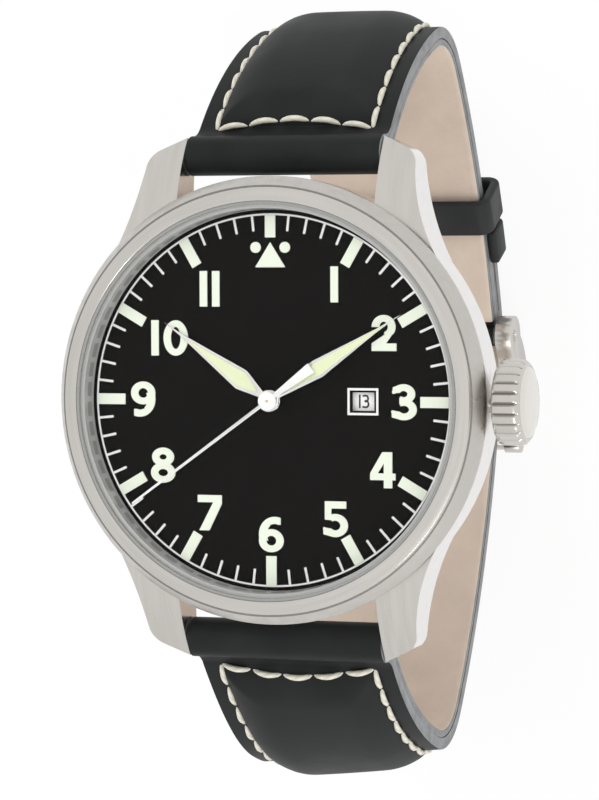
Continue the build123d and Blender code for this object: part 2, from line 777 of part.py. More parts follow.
def numeral(text, width, height, stroke):
    """One numeral as a flat face."""
    w, h, s = width / 2, height / 2, stroke
    if text == "0":
        return ellipse_ring(0, 0, w, h, s)
    if text == "1":
        return Rectangle(s, height)
    if text == "2":
        bowl_height = height * 0.33
        bowl = ellipse_ring(0, h - bowl_height, w * 0.94, bowl_height, s)
        bowl -= quad((-2 * w, h - bowl_height * 1.02), (w * 0.05, h - bowl_height * 1.02), (w * 0.05, -2 * h),
                     (-2 * w, -2 * h))
        bowl -= quad((0, h - 1.62 * bowl_height), (3 * w, h - 1.62 * bowl_height), (3 * w, -2 * h),
                     (0, -2 * h))
        slope = quad((w * 0.86, h - bowl_height * 1.35), (w * 0.28, h - bowl_height * 1.5),
                     (-w * 0.95, -h + s * 0.95), (-w * 0.95, -h), (-w * 0.05, -h + s * 0.4))
        foot = quad((-w * 0.95, -h), (w, -h), (w, -h + s * 0.95), (-w * 0.95, -h + s * 0.95))
        return bowl + slope + foot
    if text == "3":
        top_height, low_height = height * 0.275, height * 0.295
        top = ellipse_ring(-w * 0.06, h - top_height, w * 0.92, top_height, s)
        low = ellipse_ring(-w * 0.04, -h + low_height, w * 1.02, low_height, s)
        top -= quad((-2 * w, h - s * 1.1), (-w * 0.3, h - s * 1.1), (-w * 0.3, -h), (-2 * w, -h))
        low -= quad((-2 * w, -h + s * 1.1), (-w * 0.3, -h + s * 1.1), (-w * 0.3, h), (-2 * w, h))
        waist = quad((-w * 0.38, -s * 0.42 + h * 0.06), (w * 0.2, -s * 0.42 + h * 0.06),
                     (w * 0.2, s * 0.5 + h * 0.02), (-w * 0.38, s * 0.5 + h * 0.02))
        lip_top = quad((-w * 0.9, h - s * 1.25), (-w * 0.25, h - s * 0.98), (-w * 0.25, h - s * 0.05),
                       (-w * 0.9, h - s * 0.4))
        lip_low = quad((-w * 0.98, -h + s * 1.25), (-w * 0.25, -h + s * 0.98), (-w * 0.25, -h + s * 0.04),
                       (-w * 0.98, -h + s * 0.35))
        return top + low + waist + lip_top + lip_low
    if text == "4":
        post_left = w * 0.08
        bar_low = -h * 0.56
        bar = quad((-w, bar_low), (w, bar_low), (w, bar_low + s * 0.85), (-w, bar_low + s * 0.85))
        upright = quad((post_left, -h), (post_left + s * 1.1, -h), (post_left + s * 1.1, h), (post_left, h))
        slope = quad((-w, bar_low + s * 0.2), (-w, bar_low + s * 0.85), (post_left - s * 0.2, h),
                     (post_left + s * 0.8, h), (post_left + s * 0.2, h - s * 1.1),
                     (-w * 0.42, bar_low + s * 0.8))
        return bar + upright + slope
    if text == "5":
        bowl_height = height * 0.325
        bowl = ellipse_ring(-w * 0.04, -h + bowl_height, w * 1.02, bowl_height, s)
        bowl -= quad((-2 * w, -h + s * 1.1), (-w * 0.3, -h + s * 1.1), (-w * 0.3, h), (-2 * w, h))
        top = quad((-w * 0.86, h - s * 0.9), (w * 0.84, h - s * 0.9), (w * 0.84, h), (-w * 0.86, h))
        stem = quad((-w * 0.86, -h + bowl_height * 1.55), (-w * 0.86 + s * 0.85, -h + bowl_height * 1.72),
                    (-w * 0.86 + s * 0.85, h), (-w * 0.86, h))
        joint = quad((-w * 0.86, -h + bowl_height * 1.5), (0, -h + 2 * bowl_height - s * 0.85),
                     (0, -h + 2 * bowl_height), (-w * 0.86 + s * 0.5, -h + bowl_height * 1.9),
                     (-w * 0.86, -h + bowl_height * 1.85))
        lip = quad((-w * 0.98, -h + s * 1.25), (-w * 0.25, -h + s * 0.98), (-w * 0.25, -h + s * 0.04),
                   (-w * 0.98, -h + s * 0.35))
        return bowl + top + stem + joint + lip
    if text == "6":
        bowl_height = height * 0.325
        bowl = ellipse_ring(0, -h + bowl_height, w, bowl_height, s)
        back = ellipse_ring(w * 0.28, 0, w * 1.28, h, s * 1.06)
        back -= quad((w * 0.75, -2 * h), (3 * w, -2 * h), (3 * w, 2 * h), (w * 0.75, 2 * h))
        back -= quad((-w * 0.1, -2 * h), (3 * w, -2 * h), (3 * w, h - s), (-w * 0.1, h - s))
        back -= quad((-3 * w, -2 * h), (3 * w, -2 * h), (3 * w, -h + bowl_height), (-3 * w, -h + bowl_height))
        return bowl + back
    if text == "7":
        top = quad((-w * 0.96, h - s * 0.92), (w, h - s * 0.92), (w, h), (-w * 0.96, h))
        slope = quad((w, h - s * 0.5), (w, h - s * 1.1), (-w * 0.02, -h), (-w * 0.84, -h),
                     (w * 0.3, h - s * 0.92), (w * 0.5, h - s * 0.5))
        return top + slope
    if text == "8":
        top_height, low_height = height * 0.265, height * 0.29
        top = ellipse_ring(0, h - top_height, w * 0.9, top_height, s)
        low = ellipse_ring(0, -h + low_height, w, low_height, s)
        return top + low
    if text == "9":
        return Rot(0, 0, 180) * numeral("6", width, height, stroke)
    raise ValueError(text)


def number_face(number, width, height, stroke, space):
    """A one or two figure number, its figures side by side."""
    figures = str(number)
    widths = [stroke if figure == "1" else width for figure in figures]
    total = sum(widths) + space * (len(figures) - 1)
    place = -total / 2
    faces = []
    for figure, wide in zip(figures, widths):
        faces.append(Pos(place + wide / 2, 0) * numeral(figure, width, height, stroke))
        place += wide + space
    return faces


# Dial

def make_dial():
    dial = post(dial_radius, dial_back, dial_level)
    dial -= post(dial_hole_radius, dial_back - overrun, dial_level + overrun)
    dial -= block(window_reach - window_width / 2, window_reach + window_width / 2,
                  -window_height / 2, window_height / 2, dial_back - overrun, dial_level + overrun)
    return dial


def bar_on_dial(angle, inner, outer, width, height):
    return Rot(0, 0, -angle) * block(-width / 2, width / 2, inner, outer, dial_level, dial_level + height)


def make_dial_print():
    solids = [ring(minute_ring_radius, minute_ring_radius - minute_ring_width, dial_level,
                   dial_level + print_thickness)]
    for minute in range(60):
        if minute % 5:
            solids.append(bar_on_dial(minute * 6, minute_tick_inner, minute_ring_radius - minute_ring_width,
                                      minute_tick_width, print_thickness))
    out_w, out_h = window_width / 2 + window_frame, window_height / 2 + window_frame
    in_w = window_width / 2 + window_frame * window_frame_inner_share
    in_h = window_height / 2 + window_frame * window_frame_inner_share
    frame = block(window_reach - out_w, window_reach + out_w, -out_h, out_h, dial_level,
                  dial_level + print_thickness)
    frame -= block(window_reach - in_w, window_reach + in_w, -in_h, in_h, dial_level - overrun,
                   dial_level + overrun)
    solids.append(frame)
    return group(solids)


def make_hour_markers():
    solids = []
    for hour in range(12):
        inner = noon_bar_inner if hour == 0 else hour_bar_inner
        solids.append(bar_on_dial(hour * 30, inner, hour_bar_outer, hour_bar_width, lume_thickness))
    half = triangle_width / 2
    solids.append(plate_from([(-half, triangle_base), (half, triangle_base), (0, triangle_tip)],
                             dial_level, dial_level + lume_thickness))
    for side in (-1, 1):
        solids.append(post(dot_radius, dial_level, dial_level + lume_thickness, side * dot_spread,
                           dot_height))
    return group(solids)


def make_numerals():
    solids = []
    for hour, reach in zip(range(1, 12), numeral_radii):
        x, y = clock(reach, hour * 30)
        for face in number_face(hour, numeral_width, numeral_height, numeral_stroke, numeral_space):
            solids.append(Pos(x, y, dial_level) * extrude(face, lume_thickness, dir=(0, 0, 1)))
    return group(solids)


date_top = dial_back - clear_gap
date_low = date_top - date_thickness


def make_date_digits():
    """The printed dates, each read at 3 o'clock when its turn comes."""
    middle = (date_inner + date_outer) / 2
    solids = []
    for date in range(1, date_count + 1):
        turn = (date - date_shown) * 360 / date_count
        for face in number_face(date, date_digit_width, date_digit_height, date_digit_stroke,
                                date_digit_space):
            placed = Pos(middle, 0, date_top) * extrude(face, print_thickness, dir=(0, 0, 1))
            solids.append(Rot(0, 0, turn) * placed)
    return group(solids)


# Hands, drawn pointing to 12 and turned to their time

def lance(length, width, belly, inset=0.0, end=None):
    """The flat outline of a lance hand or of its luminous field."""
    start = hand_hub_radius * 0.8 if inset == 0 else hand_hub_radius + inset * 2.2
    stop = length if end is None else end
    half_start = hand_waist / 2 if inset == 0 else max(hand_waist / 2 - inset * 0.6, inset * 0.3)
    half_belly = width / 2 - inset
    if end is None:
        needle = hand_needle / 2
        return [(-half_start, start), (-half_belly, belly), (-needle, length * 0.82), (0, stop),
                (needle, length * 0.82), (half_belly, belly), (half_start, start)]
    return [(-half_start, start), (-half_belly, belly), (0, stop), (half_belly, belly), (half_start, start)]


def make_hand(length, width, belly, lume_end, level, hub_bore, hub_low):
    low = dial_level + level
    high = low + hand_thickness
    body = plate_from(lance(length, width, belly), low, high)
    body += post(hand_hub_radius, hub_low, high)
    field = lance(length, width, belly, hand_rim, lume_end)
    body -= plate_from(field, low - overrun, high + overrun)
    body -= post(hub_bore, hub_low - overrun, high + overrun)
    lume = plate_from(field, low, high)
    return body, lume


def clockwise(shape, angle):
    return Rot(0, 0, -angle) * shape


# Motion works and train

centre_tube_radius = 0.42
cannon_radius = 0.6
hour_pipe_radius = 0.85
fourth_arbor_radius = 0.18
motion_floor = dial_back - motion_recess_depth
hour_wheel_low = dial_back - clear_gap - wheel_thickness - fit_gap
minute_wheel_low = motion_floor + clear_gap / 2
hour_hub_top = dial_level + hour_hand_level + hand_thickness
minute_hub_top = dial_level + minute_hand_level + hand_thickness
seconds_low = dial_level + seconds_hand_level

barrel_place = polar((barrel_teeth + centre_pinion_teeth) * barrel_module / 2, barrel_direction)
train_distance = (centre_teeth + third_pinion_teeth) * centre_module / 2
third_place = polar(train_distance, third_direction)
third_module = 2 * train_distance / (third_teeth + fourth_pinion_teeth)
escape_place = polar((fourth_teeth + escape_pinion_teeth) * fourth_module / 2, escape_direction)
balance_place = polar(balance_reach, balance_direction)
motion_distance = (cannon_teeth + minute_teeth) * cannon_module / 2
hour_module = 2 * motion_distance / (minute_pinion_teeth + hour_teeth)
minute_wheel_place = polar(motion_distance, minute_wheel_direction)

wheel_step = wheel_thickness + level_gap
centre_wheel_low = plate_low - clear_gap / 2 - wheel_thickness
escape_wheel_low = centre_wheel_low - wheel_step
fourth_wheel_low = escape_wheel_low - wheel_step
third_wheel_low = fourth_wheel_low - wheel_step
barrel_low = plate_low
barrel_top = barrel_low + barrel_height
barrel_teeth_low = plate_low


def toward(a, b):
    """The angle from one place to another."""
    return degrees(atan2(b[1] - a[1], b[0] - a[0]))


def gap_phase(teeth, angle):
    """The phase that puts a gap between teeth at this angle."""
    return angle + 180 / teeth


def make_main_plate():
    plate = post(movement_radius, plate_low, dial_back)
    channel_low = dial_back - date_channel_depth
    plate -= ring(date_outer + clear_gap, date_inner - clear_gap, channel_low, dial_back + overrun)
    plate -= post(motion_recess_radius, motion_floor, dial_back + overrun)
    barrel_room = barrel_teeth * barrel_module / 2 + 2 * barrel_module
    plate -= post(barrel_room, plate_low - overrun, barrel_top + level_gap, *barrel_place)
    pinion_room = centre_pinion_teeth * barrel_module / 2 + barrel_module + clear_gap
    plate -= post(pinion_room, plate_low - overrun, barrel_teeth_low + pinion_thickness + clear_gap)
    plate -= post(centre_tube_radius + running_gap, plate_low - overrun, dial_back + overrun)
    stem_room = winding_radius + clear_gap
    plate -= block(stem_inner_end - clear_gap, movement_radius + overrun, -stem_room, stem_room,
                   plate_low - overrun, crown_height + stem_room)
    for place in (third_place, escape_place, pallet_place, balance_place):
        plate -= post(jewel_radius, plate_low - overrun, plate_low + jewel_thickness, *place)
        plate -= post(pivot_radius + running_gap, plate_low - overrun, plate_low + 2 * jewel_thickness,
                      *place)
    plate -= post(barrel_pivot_radius + running_gap, plate_low - overrun, motion_floor + overrun,
                  *barrel_place)
    for place in screw_places:
        plate -= post(screw_radius, plate_low - overrun, plate_low + 3 * screw_radius, *place)
    return plate


winding_radius = 0.9
barrel_pivot_radius = 0.6
barrel_arbor_radius = 0.95
ratchet_radius = ratchet_teeth * winding_module / 2
crown_wheel_radius = crown_wheel_teeth * winding_module / 2
crown_wheel_direction = -35.0
crown_wheel_offset = polar(ratchet_radius + crown_wheel_radius, crown_wheel_direction)
crown_wheel_place = (barrel_place[0] + crown_wheel_offset[0], barrel_place[1] + crown_wheel_offset[1])
ratchet_low = bridge_low + fit_gap
ratchet_top = ratchet_low + winding_wheel_thickness

pallet_share = 0.62
pallet_place = (escape_place[0] + (balance_place[0] - escape_place[0]) * pallet_share,
                escape_place[1] + (balance_place[1] - escape_place[1]) * pallet_share)

barrel_screws = tuple(polar(screw_circle, angle) for angle in (20.0, 155.0, 130.0))
train_screws = (polar(screw_circle, 190.0), polar(screw_circle, 245.0), polar(near_screw_circle, 274.0))
cock_foot = polar(screw_circle, 284.0)
screw_places = (*barrel_screws, *train_screws, cock_foot)


def make_bridge_blank(region, feet):
    """A bridge: a plate that stands on feet over the main plate."""
    blank = post(movement_radius - clear_gap, bridge_low, bridge_top) & region
    for place in feet:
        blank += post(foot_radius, bridge_low, plate_low, *place)
    for place in feet:
        blank -= post(screw_head_radius + fit_gap, bridge_low - overrun, bridge_low + screw_head_height,
                      *place)
        blank -= post(screw_radius, bridge_low - overrun, plate_low + overrun, *place)
    return blank


def jewel_hole(shape, place):
    shape -= post(jewel_radius, bridge_low - overrun, bridge_low + jewel_thickness, *place)
    return shape - post(pivot_radius + running_gap, bridge_low - overrun, bridge_top + overrun, *place)


def make_barrel_bridge():
    size = movement_radius
    split = 0.9
    region = block(-size, size, split, size, bridge_low, bridge_top)
    region += block(size * 0.28, size, -split, split + overrun, bridge_low, bridge_top)
    region -= post(rotor_hub_radius + rotor_hub_wall, bridge_low - overrun, bridge_top + overrun)
    bridge = make_bridge_blank(region, barrel_screws)
    for place, radius in ((barrel_place, ratchet_radius), (crown_wheel_place, crown_wheel_radius)):
        bridge -= post(radius + 2 * winding_module, bridge_low - overrun, ratchet_top + fit_gap, *place)
    bridge -= post(barrel_arbor_radius + running_gap, bridge_low - overrun, bridge_top + overrun,
                   *barrel_place)
    bridge -= post(crown_hub_radius + running_gap, bridge_low - overrun, bridge_top + overrun,
                   *crown_wheel_place)
    return bridge


def make_train_bridge():
    size = movement_radius
    split = 0.7
    region = block(-size, size, -size, split, bridge_low, bridge_top)
    region -= block(size * 0.28 - clear_gap, size + overrun, -split - 2 * clear_gap, size,
                    bridge_low - overrun, bridge_top + overrun)
    region -= post(hairspring_outer + 3 * clear_gap, bridge_low - overrun, bridge_top + overrun,
                   *balance_place)
    cock_angle = toward(balance_place, cock_foot)
    slot = Pos(balance_place[0], balance_place[1], 0) * Rot(0, 0, cock_angle)
    half = cock_width / 2 + clear_gap
    region -= slot * block(0, size, -half, half, bridge_low - overrun, bridge_top + overrun)
    side_cut = Rot(0, 0, balance_direction) * block(0, size * 2, -balance_radius - clear_gap,
                                                   balance_radius * 3, bridge_low - overrun,
                                                   bridge_top + overrun)
    side_cut = Pos(*balance_place) * side_cut
    region -= side_cut
    bridge = make_bridge_blank(region, train_screws)
    bridge = bridge.solids().sort_by(SortBy.VOLUME)[-1]
    for place in ((0, 0), third_place, escape_place):
        bridge = jewel_hole(bridge, place)
    return bridge


cock_width = 2.6
cock_thickness = 0.4
crown_hub_radius = 2.15


def make_balance_cock():
    top = bridge_low + cock_thickness
    reach = hypot(cock_foot[0] - balance_place[0], cock_foot[1] - balance_place[1])
    cock = post(cock_width / 2, bridge_low, top, *balance_place)
    slot = Pos(balance_place[0], balance_place[1], 0) * Rot(0, 0, toward(balance_place, cock_foot))
    cock += slot * block(0, reach, -cock_width / 2, cock_width / 2, bridge_low, top)
    cock += post(cock_width / 2, bridge_low, plate_low, *cock_foot)
    cock -= post(screw_head_radius + fit_gap, bridge_low - overrun, bridge_low + screw_head_height * 0.8,
                 *cock_foot)
    cock -= post(screw_radius, bridge_low - overrun, plate_low + overrun, *cock_foot)
    return jewel_hole(cock, balance_place)


def make_screws():
    solids = []
    for place in screw_places:
        screw = post(screw_head_radius, bridge_low, bridge_low + screw_head_height * 0.8, *place)
        screw += post(screw_radius, bridge_low, plate_low + 2 * screw_radius, *place)
        angle = toward((0, 0), place) * 3
        slot = Pos(*place) * Rot(0, 0, angle) * block(-overrun, overrun, -screw_slot_width / 2,
                                                     screw_slot_width / 2, bridge_low - overrun,
                                                     bridge_low + screw_head_height * 0.3)
        solids.append(screw - slot)
    for angle in clamp_angles:
        x, y = polar(clamp_screw_reach, angle)
        screw = post(screw_head_radius, clamp_low - screw_head_height * 0.8, clamp_low, x, y)
        screw += post(screw_radius, clamp_low, bridge_low + 4 * screw_radius, x, y)
        slot = Pos(x, y) * Rot(0, 0, angle) * block(-overrun, overrun, -screw_slot_width / 2,
                                                    screw_slot_width / 2, 0,
                                                    clamp_low - screw_head_height * 0.5)
        solids.append(screw - slot)
    return group(solids)


clamp_angles = (100.0, 220.0, 340.0)
clamp_screw_reach = 14.2
clamp_low = bridge_low - clamp_thickness


def make_movement_ring():
    body = ring(ring_outer, ring_bore, bridge_low, dial_back)
    body -= rod(crown_tube_radius + fit_gap, ring_bore - overrun, ring_outer + overrun, 0, crown_height)
    for angle in clamp_angles:
        x, y = polar(clamp_screw_reach, angle)
        body -= post(screw_radius, bridge_low - overrun, bridge_low + 5 * screw_radius, x, y)
    return body


def make_clamps():
    solids = []
    for angle in clamp_angles:
        start = clamp_screw_reach - clamp_length + foot_radius
        clamp = block(start, start + clamp_length, -clamp_width / 2, clamp_width / 2, clamp_low, bridge_low)
        clamp = Rot(0, 0, angle) * clamp
        x, y = polar(clamp_screw_reach, angle)
        solids.append(clamp - post(screw_radius, clamp_low - overrun, bridge_low + overrun, x, y))
    return group(solids)


def make_jewels():
    solids = []
    for place in (third_place, escape_place, pallet_place, balance_place):
        solids.append(ring(jewel_radius, pivot_radius + running_gap, plate_low, plate_low + jewel_thickness,
                           *place))
    for place in ((0, 0), third_place, escape_place, balance_place):
        solids.append(ring(jewel_radius, pivot_radius + running_gap, bridge_low, bridge_low + jewel_thickness,
                           *place))
    return group(solids)


def pivoted(place, low, high):
    """A plain arbor with a pivot at each end."""
    arbor = post(arbor_radius, bridge_top + clear_gap / 2, plate_low - clear_gap / 2, *place)
    return arbor + post(pivot_radius, low, high, *place)


def make_centre_wheel():
    low = centre_wheel_low
    wheel = toothed(centre_teeth, centre_module, low, low + wheel_thickness, (0, 0), third_direction)
    wheel = crossed(wheel, (0, 0), wheel_window_outer, centre_window_inner, low, low + wheel_thickness,
                    spokes, spoke_width)
    pinion_top = barrel_teeth_low + pinion_thickness
    wheel += toothed(centre_pinion_teeth, barrel_module, low + wheel_thickness, pinion_top, (0, 0),
                     gap_phase(centre_pinion_teeth, barrel_direction))
    wheel += post(centre_tube_radius, low, dial_level + hour_hand_level)
    return wheel - post(fourth_arbor_radius + running_gap, low - overrun, bezel_top)


def make_third_wheel():
    low = third_wheel_low
    inner_angle = toward(third_place, (0, 0))
    wheel = toothed(third_teeth, third_module, low, low + wheel_thickness, third_place, inner_angle)
    wheel = crossed(wheel, third_place, wheel_window_outer, wheel_window_inner, low, low + wheel_thickness,
                    spokes, spoke_width)
    wheel += toothed(third_pinion_teeth, centre_module, centre_wheel_low - clear_gap / 2,
                     plate_low - running_gap, third_place, gap_phase(third_pinion_teeth, inner_angle))
    wheel += pivoted(third_place, bridge_low + fit_gap, plate_low + jewel_thickness)
    return wheel


def make_fourth_wheel():
    low = fourth_wheel_low
    wheel = toothed(fourth_teeth, fourth_module, low, low + wheel_thickness, (0, 0), escape_direction)
    wheel = crossed(wheel, (0, 0), wheel_window_outer, wheel_window_inner, low, low + wheel_thickness,
                    spokes, spoke_width)
    wheel += toothed(fourth_pinion_teeth, third_module, third_wheel_low - clear_gap / 2, low, (0, 0),
                     gap_phase(fourth_pinion_teeth, third_direction))
    wheel += post(fourth_arbor_radius, bridge_top + clear_gap / 2, seconds_low + hand_thickness)
    return wheel + post(pivot_radius, bridge_low + fit_gap, low)


def make_escape_wheel():
    low = escape_wheel_low
    inner_angle = toward(escape_place, (0, 0))
    points = []
    step = 360 / escape_teeth
    for count in range(escape_teeth):
        for share, turn in escape_tooth_shares:
            x, y = polar(escape_radius * share, (count + turn) * step)
            points.append((escape_place[0] + x, escape_place[1] + y))
    wheel = plate_from(points, low, low + wheel_thickness)
    wheel = crossed(wheel, escape_place, escape_radius * escape_window_share, escape_window_inner, low,
                    low + wheel_thickness, spokes, escape_spoke_width)
    wheel += toothed(escape_pinion_teeth, fourth_module, fourth_wheel_low - clear_gap / 2, low + fit_gap,
                     escape_place, gap_phase(escape_pinion_teeth, inner_angle))
    wheel += pivoted(escape_place, bridge_low + fit_gap, plate_low + jewel_thickness)
    return wheel


roller_radius = 0.5
pallet_bar_width = 0.3


def make_pallet_fork():
    low = escape_wheel_low
    high = low + wheel_thickness
    out_angle = toward(pallet_place, balance_place)
    to_balance = hypot(balance_place[0] - pallet_place[0], balance_place[1] - pallet_place[1])
    length = to_balance - roller_radius - clear_gap
    frame = Pos(pallet_place[0], pallet_place[1], 0) * Rot(0, 0, out_angle)
    half = pallet_bar_width / 2
    fork = block(0, length, -half, half, low, high)
    fork += block(-half, half, -pallet_arm_reach, pallet_arm_reach, low, high)
    fork = frame * fork
    fork += post(2 * arbor_radius, low, high, *pallet_place)
    fork -= post(escape_radius + clear_gap * 0.3, low - overrun, high + overrun, *escape_place)
    fork += post(pivot_radius, low, plate_low + jewel_thickness, *pallet_place)
    return fork.solids().sort_by(SortBy.VOLUME)[-1]


balance_low = bridge_low + balance_rise


def make_balance_wheel():
    high = balance_low + balance_rim_height
    wheel = ring(balance_radius, balance_radius - balance_rim, balance_low, high, *balance_place)
    arms = Pos(*balance_place)
    half = balance_arm_width / 2
    for count in range(3):
        wheel += arms * Rot(0, 0, 30 + count * 120) * block(0, balance_radius - balance_rim / 2, -half, half,
                                                           balance_low, balance_low + balance_arm_thickness)
    wheel += post(arbor_radius, balance_low - balance_staff_drop, plate_low - clear_gap / 2, *balance_place)
    wheel += post(pivot_radius, bridge_low + fit_gap, plate_low + jewel_thickness, *balance_place)
    return wheel + post(roller_radius, escape_wheel_low, escape_wheel_low + wheel_thickness, *balance_place)


def make_hairspring():
    low = bridge_low + cock_thickness + clear_gap / 2
    high = low + hairspring_height
    coil = spiral(hairspring_turns, hairspring_inner, hairspring_outer, hairspring_wire, low, high,
                  balance_place)
    return coil + ring(hairspring_inner + hairspring_wire, pivot_radius, low, high, *balance_place)


def make_barrel():
    radius = barrel_teeth * barrel_module / 2
    drum = post(radius - 2 * barrel_module, barrel_low, barrel_top, *barrel_place)
    teeth = toothed(barrel_teeth, barrel_module, barrel_teeth_low + fit_gap,
                    barrel_teeth_low + pinion_thickness - fit_gap, barrel_place,
                    toward(barrel_place, (0, 0)))
    drum += teeth
    drum -= post(radius - 2 * barrel_module - barrel_wall, barrel_low + barrel_wall, barrel_top - barrel_wall,
                 *barrel_place)
    return drum - post(barrel_arbor_radius + running_gap, barrel_low - overrun, barrel_top + overrun,
                       *barrel_place)


def make_ratchet_wheel():
    angle = toward(barrel_place, crown_wheel_place)
    wheel = toothed(ratchet_teeth, winding_module, ratchet_low, ratchet_top, barrel_place, angle)
    arbor = post(barrel_arbor_radius, ratchet_top, barrel_top, *barrel_place)
    arbor += post(barrel_pivot_radius, barrel_top, motion_floor, *barrel_place)
    return wheel + arbor


def make_crown_wheel():
    angle = toward(crown_wheel_place, barrel_place)
    wheel = toothed(crown_wheel_teeth, winding_module, ratchet_low, ratchet_top, crown_wheel_place,
                    gap_phase(crown_wheel_teeth, angle))
    hub_top = crown_height - winding_radius - clear_gap / 2
    return wheel + post(crown_hub_radius, ratchet_top, hub_top, *crown_wheel_place)


# Winding parts on the crown's axis

winding_pinion_start = stem_inner_end + winding_pinion_setback


def fluted(start, end):
    """A fluted pinion that slides on the winding stem."""
    body = rod(winding_radius, start, end, 0, crown_height)
    body -= rod(stem_radius + running_gap, start - overrun, end + overrun, 0, crown_height)
    for count in range(pinion_flutes):
        y, z = polar(winding_radius, 360 * count / pinion_flutes)
        body -= rod(pinion_flute_radius, start - overrun, end + overrun, y, crown_height + z)
    return body


def make_crown():
    end = crown_start + crown_length
    body = turned_about_crown([
        (crown_start, crown_bore), (crown_start, crown_radius - crown_bevel / 2),
        (crown_start + crown_bevel / 2, crown_radius), (end, crown_radius),
        (end + crown_bevel, crown_radius - crown_bevel), (end + crown_bevel, 0),
        (crown_start + crown_bore_depth, 0), (crown_start + crown_bore_depth, crown_bore),
    ])
    cap = cap_of(crown_radius - crown_bevel - crown_flute_radius, crown_cap - crown_bevel)
    body += Pos(end + crown_bevel, 0, crown_height) * Rot(0, 90, 0) * cap
    boss = rod(crown_boss_radius, crown_start - crown_boss_length, crown_start, 0, crown_height)
    body += boss
    body -= rod(crown_bore, crown_start - 2 * crown_boss_length, crown_start + crown_bore_depth, 0,
                crown_height)
    for count in range(crown_flutes):
        y, z = polar(crown_radius * crown_flute_share, 360 * (count + 0.5) / crown_flutes)
        body -= rod(crown_flute_radius, crown_start - overrun, end + crown_cap + overrun, y, crown_height + z)
    stem_end = crown_start + crown_bore_depth + 2 * stem_radius
    return body - rod(stem_radius, crown_start, stem_end, 0, crown_height)


# Rotor

def make_rotor():
    low = rotor_web_top - rotor_web_thickness
    rim_low = rotor_web_top - rotor_rim_height
    outer, inner = rotor_hub_radius + rotor_hub_wall, rotor_hub_radius + 2 * running_gap
    size = rotor_radius
    half = block(-size, size, -size, 0, rim_low - overrun, rotor_web_top + overrun)
    rim = ring(rotor_radius, rotor_radius - rotor_rim_width, rim_low, rotor_web_top) & half
    web = (post(rotor_radius - rotor_rim_width / 2, low, rotor_web_top)) & half
    for angle in rotor_hole_angles:
        x, y = polar(rotor_radius * rotor_hole_circle_share, angle)
        web -= post(rotor_radius * rotor_hole_share, low - overrun, rotor_web_top + overrun, x, y)
    hub = ring(outer, inner, rim_low, rotor_web_top)
    body = rim + web + hub
    return body - post(inner, rim_low - overrun, rotor_web_top + overrun)


def make_rotor_hub():
    rim_low = rotor_web_top - rotor_rim_height
    hub = post(rotor_hub_radius, rim_low, bridge_low)
    hub += post(rotor_hub_radius + rotor_hub_wall, rotor_web_top + clear_gap, bridge_low)
    slot_depth = screw_head_height * 0.5
    half = rotor_slot_width / 2
    return hub - block(-rotor_hub_radius * 0.6, rotor_hub_radius * 0.6, -half, half, rim_low - overrun,
                       rim_low + slot_depth)


# Keepers and buckle

def frame_at(y_wanted):
    """Place and heading on the rear of the strap line where it crosses a given Y."""
    low, high = 0.0, 1.0
    for _ in range(40):
        middle = (low + high) / 2
        if place_on(rear_piece, middle, 0)[0] > y_wanted:
            low = middle
        else:
            high = middle
    return place_on(rear_piece, low, 0), rear_piece[2] + low * rear_piece[3]


def on_strap(y_wanted):
    """A plane across the strap: its x runs across the strap and its y outwards."""
    (y, z), heading = frame_at(y_wanted)
    along = (0, cos(radians(heading)), -sin(radians(heading)))
    return Plane(origin=(0, y, z), x_dir=(1, 0, 0), z_dir=along)


def outward_sign(plane):
    """1 if the plane's y points out of the loop, else -1."""
    return 1 if plane.y_dir.Z < 0 else -1


keeper_half = strap_width_at_buckle / 2 + keeper_gap + soft_gap


def make_free_keeper():
    plane = on_strap(free_keeper_reach)
    out = outward_sign(plane)
    high = tail_lift(free_keeper_reach) + keeper_gap
    low = -strap_thickness - keeper_gap
    middle = out * (high + low) / 2
    inner = Pos(0, middle) * RectangleRounded(2 * keeper_half, high - low, keeper_corner)
    outer = Pos(0, middle) * RectangleRounded(2 * (keeper_half + keeper_thickness),
                                              high - low + 2 * keeper_thickness,
                                              keeper_corner + keeper_thickness)
    return extrude(plane * (outer - inner), keeper_width / 2, both=True)


def make_fixed_keeper():
    plane = on_strap(fixed_keeper_reach)
    out = outward_sign(plane)
    high = tail_lift(fixed_keeper_reach) + soft_gap * 2
    low = -cover_thickness
    bottom = low - keeper_thickness - 2 * fixed_keeper_corner
    middle = out * (high + bottom) / 2
    half = strap_width_at_buckle / 2 + soft_gap * 2
    inner = Pos(0, middle) * RectangleRounded(2 * half, high - bottom, fixed_keeper_corner)
    outer = Pos(0, middle) * RectangleRounded(2 * (half + keeper_thickness),
                                              high - bottom + 2 * keeper_thickness,
                                              fixed_keeper_corner + keeper_thickness)
    loop = outer - inner
    cut_height = low - bottom + keeper_thickness + overrun
    loop -= Pos(0, out * (low - cut_height / 2)) * Rectangle(4 * half, cut_height)
    return extrude(plane * loop, fixed_keeper_width / 2, both=True)


def tail_lift(y_wanted):
    """How far the tail's outer face stands over the strap line at a given Y."""
    (y, z), heading = frame_at(y_wanted)
    out = (sin(radians(heading)), cos(radians(heading)))
    best = 0.0
    for piece in long_line[len(shared_steps):]:
        for count in range(81):
            ty, tz = place_on(piece, count / 80, 0)
            ty = -ty
            along = (ty - y) * cos(radians(heading)) - (tz - z) * sin(radians(heading))
            if abs(along) < keeper_width / 2:
                best = max(best, (ty - y) * out[0] + (tz - z) * out[1])
    return best


buckle_bar_place = place_on(short_line[-1], 1, buckle_tube_radius)
crossbar_y, crossbar_z = place_on(long_line[len(shared_steps)], crossbar_share, -crossbar_lift)
crossbar_place = (-crossbar_y, crossbar_z)
arm_inner = strap_width_at_buckle / 2 + buckle_gap
arm_outer = arm_inner + buckle_arm_thickness


